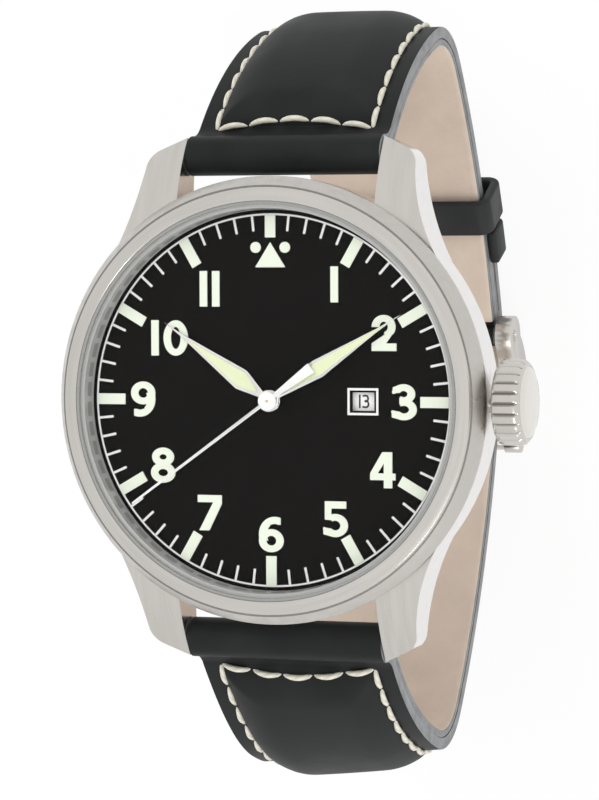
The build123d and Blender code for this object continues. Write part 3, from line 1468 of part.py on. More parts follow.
def make_buckle_frame():
    by, bz = buckle_bar_place
    cy, cz = crossbar_place
    dy, dz = cy - by, cz - bz
    length = hypot(dy, dz)
    uy, uz = dy / length, dz / length
    ny, nz = uz, -uy
    if nz > 0:
        ny, nz = -ny, -nz

    def spot(along, out):
        return (0, by + along * uy + out * ny, bz + along * uz + out * nz)

    heel_low, heel_high = spot(arm_heel_start, -arm_heel_drop), spot(arm_heel_start, arm_heel_rise)
    nose_high = spot(length + arm_nose_length * 0.4, arm_nose_rise)
    nose_low = spot(length + arm_nose_length * 0.4, -arm_nose_drop)
    side = make_face([
        ThreePointArc(heel_low, spot(-arm_heel_reach, 0), heel_high),
        ThreePointArc(heel_high, spot(length * arm_belly_share, arm_belly), nose_high),
        ThreePointArc(nose_high, spot(length + arm_nose_length, 0), nose_low),
        ThreePointArc(nose_low, spot(length * 0.5, -arm_hollow), heel_low),
    ])
    arms = []
    for sign in (1, -1):
        arm = extrude(side, buckle_arm_thickness, dir=(1, 0, 0))
        start = arm_inner if sign == 1 else -arm_outer
        arms.append(Pos(start, 0, 0) * arm)
    body = arms[0] + arms[1] + rod(crossbar_radius, -arm_outer, arm_outer, cy, cz)
    return body - rod(buckle_bar_radius, -arm_outer * 2, arm_outer * 2, by, bz)


def make_tongue():
    by, bz = buckle_bar_place
    cy, cz = crossbar_place
    dy, dz = cy - by, cz - bz
    length = hypot(dy, dz)
    uy, uz = dy / length, dz / length
    ny, nz = uz, -uy
    if nz > 0:
        ny, nz = -ny, -nz
    eye_radius = buckle_bar_radius + running_gap + tongue_thickness * 0.5
    rest = crossbar_radius + fit_gap

    def spot(along, out):
        return (0, by + along * uy + out * ny, bz + along * uz + out * nz)

    bend, tip = length * 0.75, length + tongue_overhang
    blade = make_face(Polyline(
        spot(0, eye_radius - tongue_thickness * 0.5), spot(bend, rest), spot(tip, rest),
        spot(tip, rest + tongue_thickness * 0.6), spot(bend, rest + tongue_thickness),
        spot(0, eye_radius), close=True))
    half = tongue_width / 2
    tongue = extrude(blade, half, dir=(1, 0, 0), both=True)
    tongue += rod(eye_radius, -half, half, by, bz)
    return tongue - rod(buckle_bar_radius + running_gap, -tongue_width, tongue_width, by, bz)


def make_tongue_slot():
    """The room cut through the leather for the tongue, over its whole swing."""
    by, bz = buckle_bar_place
    half = tongue_width / 2 + tongue_slot_play
    low = by + tongue_slot_share * (crossbar_place[0] - by)
    return block(-half, half, low, by + tongue_slot_behind, bz - 4 * strap_thickness,
                 bz + 2 * buckle_tube_radius)


def make_strap_holes():
    """The round adjusting holes before and after the tongue's slot."""
    crossing = length_of(long_line[:len(shared_steps) + 1]) + tail_radius * rear_tilt
    holes = []
    for steps in strap_hole_steps:
        (y, z), heading = line_at(long_line, crossing + steps * strap_hole_pitch)
        out = (0, -sin(radians(heading)), cos(radians(heading)))
        holes.append(Plane(origin=(0, -y, z), x_dir=(1, 0, 0), z_dir=out)
                     * Cylinder(strap_hole_radius, 3 * strap_thickness))
    return holes


def make_tip_cutter():
    """What is cut off the corners of the tail's tip, seen from behind the watch."""
    tip_y = strap_thickness - place_on(long_line[-1], 1, 0)[0]
    start_y = tip_y - strap_thickness - tail_tip_length
    half, narrow = strap_width / 2, tail_tip_width / 2
    tip = make_face([
        Line((-half, start_y), (half, start_y)),
        ThreePointArc((half, start_y), ((half + narrow) * 0.56, (start_y + tip_y) / 2), (narrow, tip_y)),
        Line((narrow, tip_y), (-narrow, tip_y)),
        ThreePointArc((-narrow, tip_y), (-(half + narrow) * 0.56, (start_y + tip_y) / 2), (-half, start_y)),
    ])
    reach = tip_y + strap_width
    kept = Pos(0, 0, 2 * loop_low) * extrude(tip, -2 * loop_low, dir=(0, 0, 1))
    return block(-strap_width, strap_width, start_y, reach, 2 * loop_low, 0) - kept


def write_all():
    save(make_case_middle(), "case_middle")
    save(make_bezel(), "bezel")
    save(make_flange_ring(), "flange_ring")
    save(make_crystal(), "crystal")
    save(ring(bezel_bore - fit_gap / 2, crystal_radius + fit_gap / 2, flange_top,
              flange_top + gasket_height), "crystal_gasket")
    save(make_case_back(), "case_back")
    window = post(window_radius - fit_gap, 0, window_step + fit_gap)
    window += post(window_seat_radius, window_step, window_thickness)
    save(window, "case_back_window")
    save(ring(window_seat_radius + window_gasket_width, window_seat_radius, window_step, window_thickness),
         "window_gasket")
    save(ring(back_gasket_inner + back_gasket_width, back_gasket_inner, case_lift - back_gasket_height,
              case_lift), "case_back_gasket")
    save(rod(crown_tube_radius, crown_start + crown_bore_depth - clear_gap - crown_tube_length,
             crown_start + crown_bore_depth - clear_gap, 0, crown_height)
         - rod(crown_tube_bore, 0, 2 * crown_start, 0, crown_height), "crown_tube")

    save(make_dial(), "dial")
    save(make_dial_print(), "dial_print")
    save(make_hour_markers(), "hour_markers")
    save(make_numerals(), "numerals")
    save(ring(date_outer, date_inner, date_low, date_top), "date_ring")
    save(make_date_digits(), "date_digits")

    body, lume = make_hand(hour_hand_length, hour_hand_width, hour_hand_belly, hour_hand_lume_end,
                           hour_hand_level, hour_pipe_radius, dial_level + hour_hand_level)
    save(clockwise(body, hour_angle), "hour_hand")
    save(clockwise(lume, hour_angle), "hour_hand_lume")
    body, lume = make_hand(minute_hand_length, minute_hand_width, minute_hand_belly, minute_hand_lume_end,
                           minute_hand_level, cannon_radius, dial_level + minute_hand_level)
    save(clockwise(body, minute_angle), "minute_hand")
    save(clockwise(lume, minute_angle), "minute_hand_lume")
    seconds_high = seconds_low + hand_thickness
    needle = seconds_hand_width / 2
    tail = seconds_tail_width / 2
    hand = plate_from([(-tail, -seconds_hand_tail), (tail, -seconds_hand_tail), (needle, 0),
                       (needle * 0.5, seconds_hand_length), (-needle * 0.5, seconds_hand_length),
                       (-needle, 0)], seconds_low, seconds_high)
    hand += post(seconds_hub_radius, seconds_low, seconds_high + fit_gap)
    hand -= post(fourth_arbor_radius, seconds_low - overrun, seconds_high + overrun)
    save(clockwise(hand, seconds_angle), "seconds_hand")

    cannon = toothed(cannon_teeth, cannon_module, minute_wheel_low,
                     minute_wheel_low + wheel_thickness + clear_gap, (0, 0), minute_wheel_direction)
    cannon += post(cannon_radius, minute_wheel_low, minute_hub_top)
    save(cannon - post(centre_tube_radius + running_gap, 0, bezel_top), "cannon_pinion")
    wheel = toothed(minute_teeth, cannon_module, minute_wheel_low, minute_wheel_low + wheel_thickness,
                    minute_wheel_place, gap_phase(minute_teeth, toward(minute_wheel_place, (0, 0))))
    wheel += toothed(minute_pinion_teeth, hour_module, minute_wheel_low + wheel_thickness,
                     hour_wheel_low + wheel_thickness, minute_wheel_place, toward(minute_wheel_place, (0, 0)))
    wheel += post(arbor_radius, motion_floor, hour_wheel_low + wheel_thickness, *minute_wheel_place)
    save(wheel, "minute_wheel")
    wheel = toothed(hour_teeth, hour_module, hour_wheel_low, hour_wheel_low + wheel_thickness, (0, 0),
                    gap_phase(hour_teeth, minute_wheel_direction))
    wheel += post(hour_pipe_radius, hour_wheel_low, hour_hub_top)
    save(wheel - post(cannon_radius + running_gap, 0, bezel_top), "hour_wheel")

    save(make_main_plate(), "main_plate")
    save(make_barrel_bridge(), "barrel_bridge")
    save(make_train_bridge(), "train_bridge")
    save(make_balance_cock(), "balance_cock")
    save(make_screws(), "movement_screws")
    save(make_jewels(), "jewels")
    save(make_movement_ring(), "movement_ring")
    save(make_clamps(), "casing_clamps")
    save(make_centre_wheel(), "centre_wheel")
    save(make_third_wheel(), "third_wheel")
    save(make_fourth_wheel(), "fourth_wheel")
    save(make_escape_wheel(), "escape_wheel")
    save(make_pallet_fork(), "pallet_fork")
    save(make_balance_wheel(), "balance_wheel")
    save(make_hairspring(), "hairspring")
    save(make_barrel(), "barrel")
    save(spiral(mainspring_turns, mainspring_inner, mainspring_outer, mainspring_wire,
                barrel_low + barrel_wall + clear_gap / 2, barrel_top - barrel_wall - clear_gap / 2,
                barrel_place), "mainspring")
    save(make_ratchet_wheel(), "ratchet_wheel")
    save(make_crown_wheel(), "crown_wheel")
    save(make_rotor(), "rotor")
    save(make_rotor_hub(), "rotor_hub")

    save(make_crown(), "crown")
    stem_end = crown_start + crown_bore_depth + 2 * stem_radius
    save(rod(stem_radius, stem_inner_end, stem_end, 0, crown_height), "winding_stem")
    gasket_start = crown_start + crown_gasket_width
    save(rod(crown_bore, gasket_start, gasket_start + crown_gasket_width, 0, crown_height)
         - rod(crown_tube_radius + running_gap, 0, 2 * crown_start, 0, crown_height), "crown_gasket")
    start = winding_pinion_start
    save(fluted(start, start + winding_pinion_length), "winding_pinion")
    start += winding_pinion_length + pinion_space
    save(fluted(start, start + sliding_pinion_length), "sliding_pinion")

    bars = []
    for side in (1, -1):
        half = strap_width / 2
        bar = rod(bar_radius, -half, half, side * bar_reach, bar_height)
        bar += rod(bar_tip_radius, -half - bar_tip_length, half + bar_tip_length, side * bar_reach,
                   bar_height)
        bars.append(bar)
    save(group(bars), "spring_bars")

    cover, lining = make_strap_half(short_line, 1, padding_length_12)
    by, bz = buckle_bar_place
    eye = rod(buckle_tube_radius, -strap_width_at_buckle / 2, strap_width_at_buckle / 2, by, bz)
    bar_room = rod(buckle_bar_radius + running_gap, -strap_width, strap_width, by, bz)
    slot = make_tongue_slot()
    lining -= rod(buckle_tube_radius, -strap_width, strap_width, by, bz)
    save(cover + eye - bar_room - slot, "strap_12_leather")
    save(lining - bar_room - slot, "strap_12_lining")
    cover, lining = make_strap_half(long_line, -1, padding_length_6)
    cuts = [slot, make_tip_cutter(), *make_strap_holes()]
    save(cover - cuts, "strap_6_leather")
    save(lining - cuts, "strap_6_lining")
    save(make_free_keeper(), "keeper_free")
    save(make_fixed_keeper(), "keeper_fixed")
    save(make_buckle_frame(), "buckle_frame")
    save(make_tongue(), "buckle_tongue")
    bar_half = arm_outer - buckle_arm_thickness / 4
    save(rod(buckle_bar_radius, -bar_half, bar_half, by, bz), "buckle_bar")


write_all()
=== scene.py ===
"""Looks of a steel pilot watch on a padded leather strap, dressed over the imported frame."""

import json
from math import atan2, cos, degrees, hypot, pi, radians, sin, sqrt, tan

import bmesh
import bpy
import numpy as np
from mathutils import Matrix, Vector

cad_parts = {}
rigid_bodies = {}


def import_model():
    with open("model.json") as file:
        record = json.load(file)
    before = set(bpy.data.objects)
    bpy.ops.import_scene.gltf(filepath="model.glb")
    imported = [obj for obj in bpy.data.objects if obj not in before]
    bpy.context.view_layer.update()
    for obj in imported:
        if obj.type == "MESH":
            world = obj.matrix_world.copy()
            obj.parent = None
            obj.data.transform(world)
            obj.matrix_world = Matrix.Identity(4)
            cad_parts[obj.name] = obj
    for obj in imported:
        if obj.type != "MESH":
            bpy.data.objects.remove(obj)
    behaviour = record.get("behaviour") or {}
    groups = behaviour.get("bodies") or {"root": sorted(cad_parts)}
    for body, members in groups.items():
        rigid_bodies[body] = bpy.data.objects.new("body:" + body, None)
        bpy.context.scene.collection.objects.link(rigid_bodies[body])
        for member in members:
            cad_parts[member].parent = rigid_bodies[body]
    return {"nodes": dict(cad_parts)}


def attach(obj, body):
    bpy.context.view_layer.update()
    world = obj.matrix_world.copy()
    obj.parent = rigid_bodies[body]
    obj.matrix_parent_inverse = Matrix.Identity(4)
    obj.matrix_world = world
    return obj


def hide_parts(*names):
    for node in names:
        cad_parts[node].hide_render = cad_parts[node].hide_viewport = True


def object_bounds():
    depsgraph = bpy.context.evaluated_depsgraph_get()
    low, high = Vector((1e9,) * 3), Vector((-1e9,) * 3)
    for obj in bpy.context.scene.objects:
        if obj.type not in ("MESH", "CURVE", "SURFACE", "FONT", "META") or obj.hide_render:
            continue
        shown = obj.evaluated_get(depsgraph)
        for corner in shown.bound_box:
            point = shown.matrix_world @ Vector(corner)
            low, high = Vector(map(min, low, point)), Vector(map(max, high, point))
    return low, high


for leftover in list(bpy.data.objects):
    bpy.data.objects.remove(leftover)
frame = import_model()
cad_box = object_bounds()

bl_info = {
    "name": "Pilot Watch Looks",
    "version": (1, 0, 0),
    "blender": (4, 5, 0),
    "location": "View3D > Sidebar > Pilot Watch",
    "description": "Finishes, leather, stitching and studio for a pilot watch",
    "category": "Object",
}

mm = 0.001

# Camera, placed as the photograph was taken
camera_place = Vector((119.44, 17.29, 354.24)) * mm
camera_azimuth, camera_elevation, camera_roll = radians(18.556), radians(2.694), radians(-0.219)
camera_lens, camera_sensor = 155.97, 36.0

# Studio, in metres
key_place, key_size = (-0.35, 0.45, 0.75), (0.9, 0.7)
strip_place, strip_size = (0.4, -0.62, 0.5), (0.16, 0.75)
bright_side = Vector((0.7, 0.25, 0.65)).normalized()
dim_share, bright_share, dim_end = 0.92, 1.05, -0.6
floor_reach = 2.0
floor_tone, floor_glow = 0.92, 0.9

# Case: outlines are radius and height
dial_level = 7.9 * mm
flank_normal, under_normal = 0.35, 0.85
bezel_corner = 0.07 * mm
bezel_outline = [(r * mm, z * mm) for r, z in (
    (21.6, 6.65), (22.15, 6.65), (22.15, 7.75), (23.55, 7.75), (23.75, 7.95), (23.75, 8.4), (22.75, 10.1),
    (22.6, 10.1), (22.45, 10.45), (21.1, 10.75), (21.1, 7.95), (21.6, 7.95))]
bezel_side, bezel_foot, bezel_ledge, bezel_shoulder = 22.5 * mm, 7.97 * mm, 10.04 * mm, 10.2 * mm
crystal_radius, crystal_low, crystal_rim, crystal_top = 20.72 * mm, 10.24 * mm, 11.1 * mm, 11.45 * mm
crystal_bevel = 0.2 * mm
crystal_steps = 12
# The flange's broken line is a painted reflection of the minute ring: darker dashes between these heights.
reflected_dash_low, reflected_dash_high = dial_level + 0.55 * mm, dial_level + 1.5 * mm
reflected_dash_share = 0.36    # half a dash's length, of the space between two minutes

# Crown: the outline is place along the axis, radius and share of the flutes' depth
crown_axis = 5.4 * mm
crown_outline = [(x * mm, r * mm, share) for x, r, share in (
    (24.5, 1.25, 0), (24.5, 2.6, 0), (24.5, 4.0, 0), (24.53, 4.15, 0.3), (24.6, 4.3, 0.8), (24.72, 4.42, 1),
    (24.9, 4.49, 1), (25.3, 4.5, 1), (26.7, 4.5, 1), (26.95, 4.48, 1), (27.12, 4.4, 0.8), (27.3, 4.24, 0.35),
    (27.42, 4.1, 0), (27.5, 3.98, 0), (27.52, 3.85, 0), (27.46, 3.78, 0), (27.52, 3.7, 0), (27.66, 3.6, 0),
    (27.78, 3.3, 0), (27.84, 2.6, 0), (27.88, 1.6, 0), (27.9, 0.6, 0), (27.9, 0.05, 0))]
cap_rows = 8    # the outline's last rows, which the smooth cap takes
flutes, flute_depth, flute_half_turn = 24, 0.3 * mm, 3.2
flute_power, flute_steps = 0.75, 14
flute_inner, flute_end = 4.0 * mm, 27.35 * mm

# Hands, date and buckle
hand_edge = 0.04 * mm
seconds_growth, digit_growth = 0.05 * mm, 0.045 * mm
frame_edge, tongue_edge = 0.1 * mm, 0.08 * mm

# Colours of small parts
# The bezel's seams get a dark colour: painted shade.
flange_colour, seam_shade_colour, nylon_colour = (0.46, 0.46, 0.445), (0.27, 0.265, 0.25), (0.27, 0.27, 0.26)
rubber_colour = print_black_colour = (0.02, 0.02, 0.02)
print_white_colour, date_colour = (0.8, 0.8, 0.78), (0.95, 0.95, 0.93)
hand_colour, seconds_colour = (0.86, 0.85, 0.83), (0.86, 0.86, 0.84)
plating_colour, brass_colour, wheel_colour = (0.6, 0.59, 0.56), (0.72, 0.52, 0.22), (0.6, 0.59, 0.57)
blued_colour, ruby_colour, edge_colour = (0.03, 0.06, 0.3), (0.5, 0.02, 0.06), (0.2, 0.205, 0.21)

# Strap line: lines and arcs in the YZ plane, heading in degrees below +Y
bar_reach, bar_height = 26.05 * mm, 2.1 * mm
line_offset = 0.25 * mm
strap_heading = 42.0
strap_run = 3.5 * mm
front_turn, front_radius = 32.8, 39.4 * mm
top_turn, top_radius = 63.6, 9.8 * mm
rear_turn = 22.9
end_turn, end_radius = 5.5, 25.0 * mm
tail_end_turn = 11.8
strap_width, strap_width_at_buckle = 21.9 * mm, 20.0 * mm
strap_thickness, cover_thickness = 2.2 * mm, 1.3 * mm
tube_radius = 2.15 * mm
tube_fillet = 3.0 * mm
buckle_eye_radius = 1.25 * mm
layer_gap = 0.1 * mm
tail_tip_length, tail_tip_width = 4.5 * mm, 8.0 * mm
tail_tip_power = 1.4
crossbar_share, crossbar_lift = 0.22, 2.0 * mm
slot_half_width, slot_share, slot_behind, slot_drop = 1.25 * mm, 0.58, 3.2 * mm, 8.8 * mm
hole_pitch, hole_radius = 6.5 * mm, 0.85 * mm
hole_steps = (-4.25, -3.25, -2.25, -1.25, 1.25)
peg_reach, peg_sides = 1.5 * strap_thickness, 24

# Padding, stitches and sag
pad_start = 4.25 * mm
pad_corner = 1.3 * mm
pad_shoulder, pad_shoulder_power, pad_foot_power = 4.8 * mm, 2.2, 0.8
pad_crown_share = 0.1
groove_depth, groove_place, groove_width = 0.22 * mm, 0.35 * mm, 0.4 * mm
sag_depth, sag_twist = 1.1 * mm, 1.2 * mm
sag_start, sag_rise, sag_end, sag_fall = 2.5 * mm, 20 * mm, 36 * mm, 26 * mm
short_fade, long_fade = (30 * mm, 58 * mm), (34 * mm, 66 * mm)    # where the padding sinks away
short_seam_shift = -0.55 * mm
seam_corner, seam_bow, seam_end = 4.1 * mm, 0.85 * mm, 3 * mm
row_stitches = 5
stitch_sink, stitch_rise = 0.4, 1.35    # shares of the thread's width
stitch_tip, stitch_body, stitch_taper = 0.06, 0.5, 0.5
stitch_segments, thread_sides = 7, 8
keeper_edge = 0.3 * mm

# Spacing of the strap's mesh
fine_zone = 9 * mm
cover_steps, back_steps, lining_steps = (0.3 * mm, 0.75 * mm), (1.2 * mm, 1.6 * mm), (0.8 * mm, 0.9 * mm)
roll_clear, back_start, lining_start = 0.1 * mm, 2.0 * mm, 1.2 * mm
column_step, column_widening, dense_from = 0.022, 1.8, 0.70
lining_columns = 31
roll_under, roll_steps, fillet_steps = radians(60), 44, 9
eye_wrap, eye_steps = radians(262), 26
cover_stop, lining_stop = 1.4 * buckle_eye_radius, 1.6 * buckle_eye_radius


def colour_setting(name, description, default):
    """A colour in a property group."""
    return bpy.props.FloatVectorProperty(name=name, description=description, subtype="COLOR", default=default)


def length_setting(name, description, default):
    """A length in a property group, given in millimetres."""
    return bpy.props.FloatProperty(name=name, description=description, unit="LENGTH", default=default * mm)


def power_setting(name, description, default):
    """A lamp's power in a property group."""
    return bpy.props.FloatProperty(name=name, description=description, unit="POWER", default=default)


class WatchFinishes(bpy.types.PropertyGroup):
    """Colours of the watch's materials."""

    steel: colour_setting("Steel", "Colour of the brushed case steel", (0.61, 0.587, 0.552))
    dial: colour_setting("Dial", "Colour of the matt dial", (0.0055, 0.005, 0.0046))
    lume: colour_setting("Lume", "Colour of the luminous paint", (0.77, 0.82, 0.69))
    hand_lume: colour_setting("Hand lume", "Colour of the luminous paint in the hands", (0.7, 0.76, 0.5))
    leather: colour_setting("Leather", "Colour of the cover leather", (0.016, 0.017, 0.017))
    lining: colour_setting("Lining", "Colour of the lining leather", (0.64, 0.53, 0.44))
    thread: colour_setting("Thread", "Colour of the stitching", (0.68, 0.65, 0.55))
    polished: colour_setting("Polished steel", "Colour of the polished flanks", (0.79, 0.77, 0.755))


class WatchStrap(bpy.types.PropertyGroup):
    """Sizes of the strap's padding and stitching."""

    pad_height: length_setting("Padding height", "Rise of the padded centre over the rim", 1.8)
    pad_half_width: length_setting("Padding half width", "Middle of the strap to the padding's foot", 9.1)
    stitch_inset: length_setting("Stitch inset", "Strap edge to the row of stitches", 2.05)
    stitch_length: length_setting("Stitch length", "Length of one stitch", 3.62)
    stitch_pitch: length_setting("Stitch pitch", "Spacing of the stitches", 3.35)
    thread_width: length_setting("Thread width", "Thickness of the thread", 0.6)
    edge_round: length_setting("Edge rounding", "Rounding of the cut leather edges", 0.3)


class WatchStage(bpy.types.PropertyGroup):
    """Light and floor of the studio."""

    key_power: power_setting("Key light", "Power of the large soft light", 2.6)
    strip_power: power_setting("Strip light", "Power of the tall strip at the lower right", 2.2)
    world_strength: bpy.props.FloatProperty(
        name="Surroundings", description="Strength of the pale surroundings", default=0.95, min=0)
    floor_drop: length_setting("Floor drop", "Gap between the strap and the floor", 0.05)


# Meshes

def new_piece(name, vertices, faces, material, smooth_angle=35.0):
    """A mesh object in the row frame, smooth but for edges sharper than an angle."""
    mesh = bpy.data.meshes.new(name)
    mesh.from_pydata([tuple(v) for v in vertices], [], [tuple(int(i) for i in f) for f in faces])
    mesh.validate()
    piece = bpy.data.objects.new(name, mesh)
    bpy.context.scene.collection.objects.link(piece)
    tidy_mesh(mesh)
    mesh.shade_smooth()
    mesh.set_sharp_from_angle(angle=radians(smooth_angle))
    if material:
        mesh.materials.append(material)
    return piece


def tidy_mesh(mesh):
    """Merge doubles and turn the faces outwards."""
    work = bmesh.new()
    work.from_mesh(mesh)
    bmesh.ops.remove_doubles(work, verts=work.verts, dist=1e-7)
    bmesh.ops.recalc_face_normals(work, faces=work.faces)
    work.to_mesh(mesh)
    work.free()


def bevel(piece, width, segments, angle):
    """A rounded edge, kept as a modifier until the piece is baked."""
    modifier = piece.modifiers.new("Rounding", "BEVEL")
    modifier.width = width
    modifier.segments = segments
    modifier.limit_method = "ANGLE"
    modifier.angle_limit = radians(angle)
    modifier.harden_normals = True


def bake(piece, smooth_angle):
    """Apply the piece's modifiers to its mesh."""
    bpy.context.view_layer.update()
    evaluated = piece.evaluated_get(bpy.context.evaluated_depsgraph_get())
    mesh = bpy.data.meshes.new_from_object(evaluated)
    piece.modifiers.clear()
    piece.data = mesh
    mesh.shade_smooth()
    mesh.set_sharp_from_angle(angle=radians(smooth_angle))


def turned_piece(name, outline, material, segments, smooth_angle):
    """A body of revolution about Z from a closed outline of radius and height."""
    count = len(outline)
    vertices, faces = [], []
    for number in range(segments):
        turn = 2 * pi * number / segments
        vertices += [(r * cos(turn), r * sin(turn), z) for r, z in outline]
        for k in range(count):
            here, there = number * count, (number + 1) % segments * count
            faces.append((here + k, there + k, there + (k + 1) % count, here + (k + 1) % count))
    return new_piece(name, vertices, faces, material, smooth_angle)


def rounded(points, radius, steps):
    """An outline whose corners are arcs."""
    result = []
    for index, corner in enumerate(points):
        before, after = Vector(points[index - 1]), Vector(points[(index + 1) % len(points)])
        corner = Vector(corner)
        into, away = before - corner, after - corner
        half = into.angle(away) / 2
        if half > radians(88):
            result.append(tuple(corner))
            continue
        cut = min(radius / tan(half), into.length * 0.45, away.length * 0.45)
        arc = cut * tan(half)
        centre = corner + (into.normalized() + away.normalized()).normalized() * arc / sin(half)
        start, end = corner + into.normalized() * cut, corner + away.normalized() * cut
        for step in range(steps + 1):
            place = start.lerp(end, step / steps) - centre
            result.append(tuple(centre + place.normalized() * arc))
    return result


def softened(node, width, material, segments=2, angle=30.0):
    """A copy of a CAD node, with rounded edges where they have a width, which stands for the node."""
    source = frame["nodes"][node].data
    vertices = [v.co[:] for v in source.vertices]
    faces = [p.vertices[:] for p in source.polygons]
    piece = new_piece(node + "_finished", vertices, faces, material)
    work = bmesh.new()
    work.from_mesh(piece.data)
    bmesh.ops.remove_doubles(work, verts=work.verts, dist=1e-6)
    bmesh.ops.dissolve_limit(work, angle_limit=radians(0.5), verts=work.verts, edges=work.edges)
    bmesh.ops.recalc_face_normals(work, faces=work.faces)
    work.to_mesh(piece.data)
    work.free()
    if width:
        bevel(piece, width, segments, angle)
    bake(piece, 40)
    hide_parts(node)
    return piece


def broaden(piece, growth):
    """Move the corners sideways out of the piece, one after another, as far as each normal leans that way."""
    for vertex in piece.data.vertices:
        flat = Vector((vertex.normal.x, vertex.normal.y, 0))
        vertex.co += flat * growth


def broaden_print(piece, growth):
    """The same, done quicker for a large piece whose edges aren't rounded."""
    work = bmesh.new()
    work.from_mesh(piece.data)
    for corner in work.verts:
        for face in corner.link_faces:
            face.normal_update()
        corner.normal_update()
        corner.co += Vector((corner.normal.x, corner.normal.y, 0)) * growth
    piece.data.vertices.foreach_set("co", [part for corner in work.verts for part in corner.co])
    piece.data.update()
    work.free()


def dress(node, material):
    """Give a CAD node a better material."""
    piece = frame["nodes"][node]
    if not piece.material_slots:
        raise RuntimeError(node + " has no material slot")
    for slot in piece.material_slots:
        slot.material = material


# Shader building

def new_finish(name, colour, roughness, metallic=0.0, specular=0.5):
    """A Principled material, with its tree and shader."""
    material = bpy.data.materials.new(name)
    material.use_nodes = True
    tree = material.node_tree
    shader = tree.nodes["Principled BSDF"]
    shader.inputs["Base Color"].default_value = (*colour, 1)
    shader.inputs["Roughness"].default_value = roughness
    shader.inputs["Metallic"].default_value = metallic
    shader.inputs["Specular IOR Level"].default_value = specular
    return material, tree, shader


def add_node(tree, kind, inputs, **settings):
    """A new node. Each input is given a value, or the socket that feeds it."""
    node = tree.nodes.new(kind)
    for key, value in settings.items():
        setattr(node, key, value)
    for key, value in inputs.items():
        if isinstance(value, bpy.types.NodeSocket):
            tree.links.new(value, node.inputs[key])
        else:
            node.inputs[key].default_value = value
    return node


def math_node(tree, operation, a, b=0.0):
    """A Math node's output. An operand is a socket or a number."""
    return add_node(tree, "ShaderNodeMath", {0: a, 1: b}, operation=operation).outputs[0]


def mapped(tree, scale=(1, 1, 1), rotation=(0, 0, 0)):
    """Object coordinates, turned and scaled."""
    place = tree.nodes.new("ShaderNodeTexCoord").outputs["Object"]
    inputs = {"Vector": place, "Rotation": rotation, "Scale": scale}
    return add_node(tree, "ShaderNodeMapping", inputs).outputs["Vector"]


def split_axes(tree, vector):
    """The three parts of a vector."""
    return add_node(tree, "ShaderNodeSeparateXYZ", {0: vector}).outputs


def attribute(tree, name):
    """A named attribute's value."""
    return add_node(tree, "ShaderNodeAttribute", {}, attribute_name=name).outputs["Fac"]


def noise(tree, vector, scale, detail=2.0, roughness=0.5):
    """A noise texture's value."""
    inputs = {"Vector": vector, "Scale": scale, "Detail": detail, "Roughness": roughness}
    return add_node(tree, "ShaderNodeTexNoise", inputs).outputs["Fac"]


def cells(tree, vector, scale):
    """A Voronoi texture's distance from its points."""
    return add_node(tree, "ShaderNodeTexVoronoi", {"Vector": vector, "Scale": scale}).outputs["Distance"]


def spread(tree, value, low, high, start=0.0, end=1.0):
    """Map a value from start..end to low..high."""
    inputs = {"Value": value, "From Min": start, "From Max": end, "To Min": low, "To Max": high}
    return add_node(tree, "ShaderNodeMapRange", inputs).outputs["Result"]


def tint(tree, shader, value, dark, light, start=0.3, end=0.7):
    """Blend the base colour between two tones."""
    ramp = tree.nodes.new("ShaderNodeValToRGB")
    ramp.color_ramp.elements[0].position = start
    ramp.color_ramp.elements[1].position = end
    ramp.color_ramp.elements[0].color = (*dark, 1)
    ramp.color_ramp.elements[1].color = (*light, 1)
    tree.links.new(value, ramp.inputs["Fac"])
    tree.links.new(ramp.outputs["Color"], shader.inputs["Base Color"])


def bump(tree, shader, height, strength, distance, below=None):
    """Relief from a height. Another bump's output can lie below."""
    inputs = {"Strength": strength, "Distance": distance, "Height": height}
    if below:
        inputs["Normal"] = below
    relief = add_node(tree, "ShaderNodeBump", inputs).outputs["Normal"]
    tree.links.new(relief, shader.inputs["Normal"])
    return relief


def scaled(colour, factor):
    """A colour made darker or lighter."""
    return tuple(min(channel * factor, 1) for channel in colour)


def ring_coordinates(tree, across, along, rotation=(0, 0, 0)):
    """Coordinates whose first axis counts the rings of a turned finish and the others go round it."""
    x, y, z = split_axes(tree, mapped(tree, rotation=rotation))
    square = math_node(tree, "ADD", math_node(tree, "MULTIPLY", x, x), math_node(tree, "MULTIPLY", y, y))
    radius = math_node(tree, "SQRT", square)
    safe = math_node(tree, "MAXIMUM", radius, 0.01 * mm)
    depth = math_node(tree, "MULTIPLY", math_node(tree, "ADD", radius, z), across)
    inputs = {0: depth}
    for number, axis in ((1, x), (2, y)):
        inputs[number] = math_node(tree, "MULTIPLY", math_node(tree, "DIVIDE", axis, safe), along)
    return add_node(tree, "ShaderNodeCombineXYZ", inputs).outputs[0]


def turned_streaks(tree, rotation=(0, 0, 0)):
    """Fine streaks round an axis."""
    return noise(tree, ring_coordinates(tree, 2200.0, 2.0, rotation), 1.0, 1.5, 0.4)


def brushed(tree, shader, streaks, colour, roughness):
    """Fine streaks in tone, gloss and relief."""
    tint(tree, shader, streaks, scaled(colour, 0.97), scaled(colour, 1.03), 0.35, 0.65)
    gloss = spread(tree, streaks, roughness - 0.05, roughness + 0.05, 0.3, 0.7)
    tree.links.new(gloss, shader.inputs["Roughness"])
    bump(tree, shader, streaks, 0.1, 0.0008 * mm)


def turned_steel(name, colour, roughness):
    """Steel brushed round the Z axis."""
    material, tree, shader = new_finish(name, colour, roughness, 1.0)
    brushed(tree, shader, turned_streaks(tree), colour, roughness)
    return material


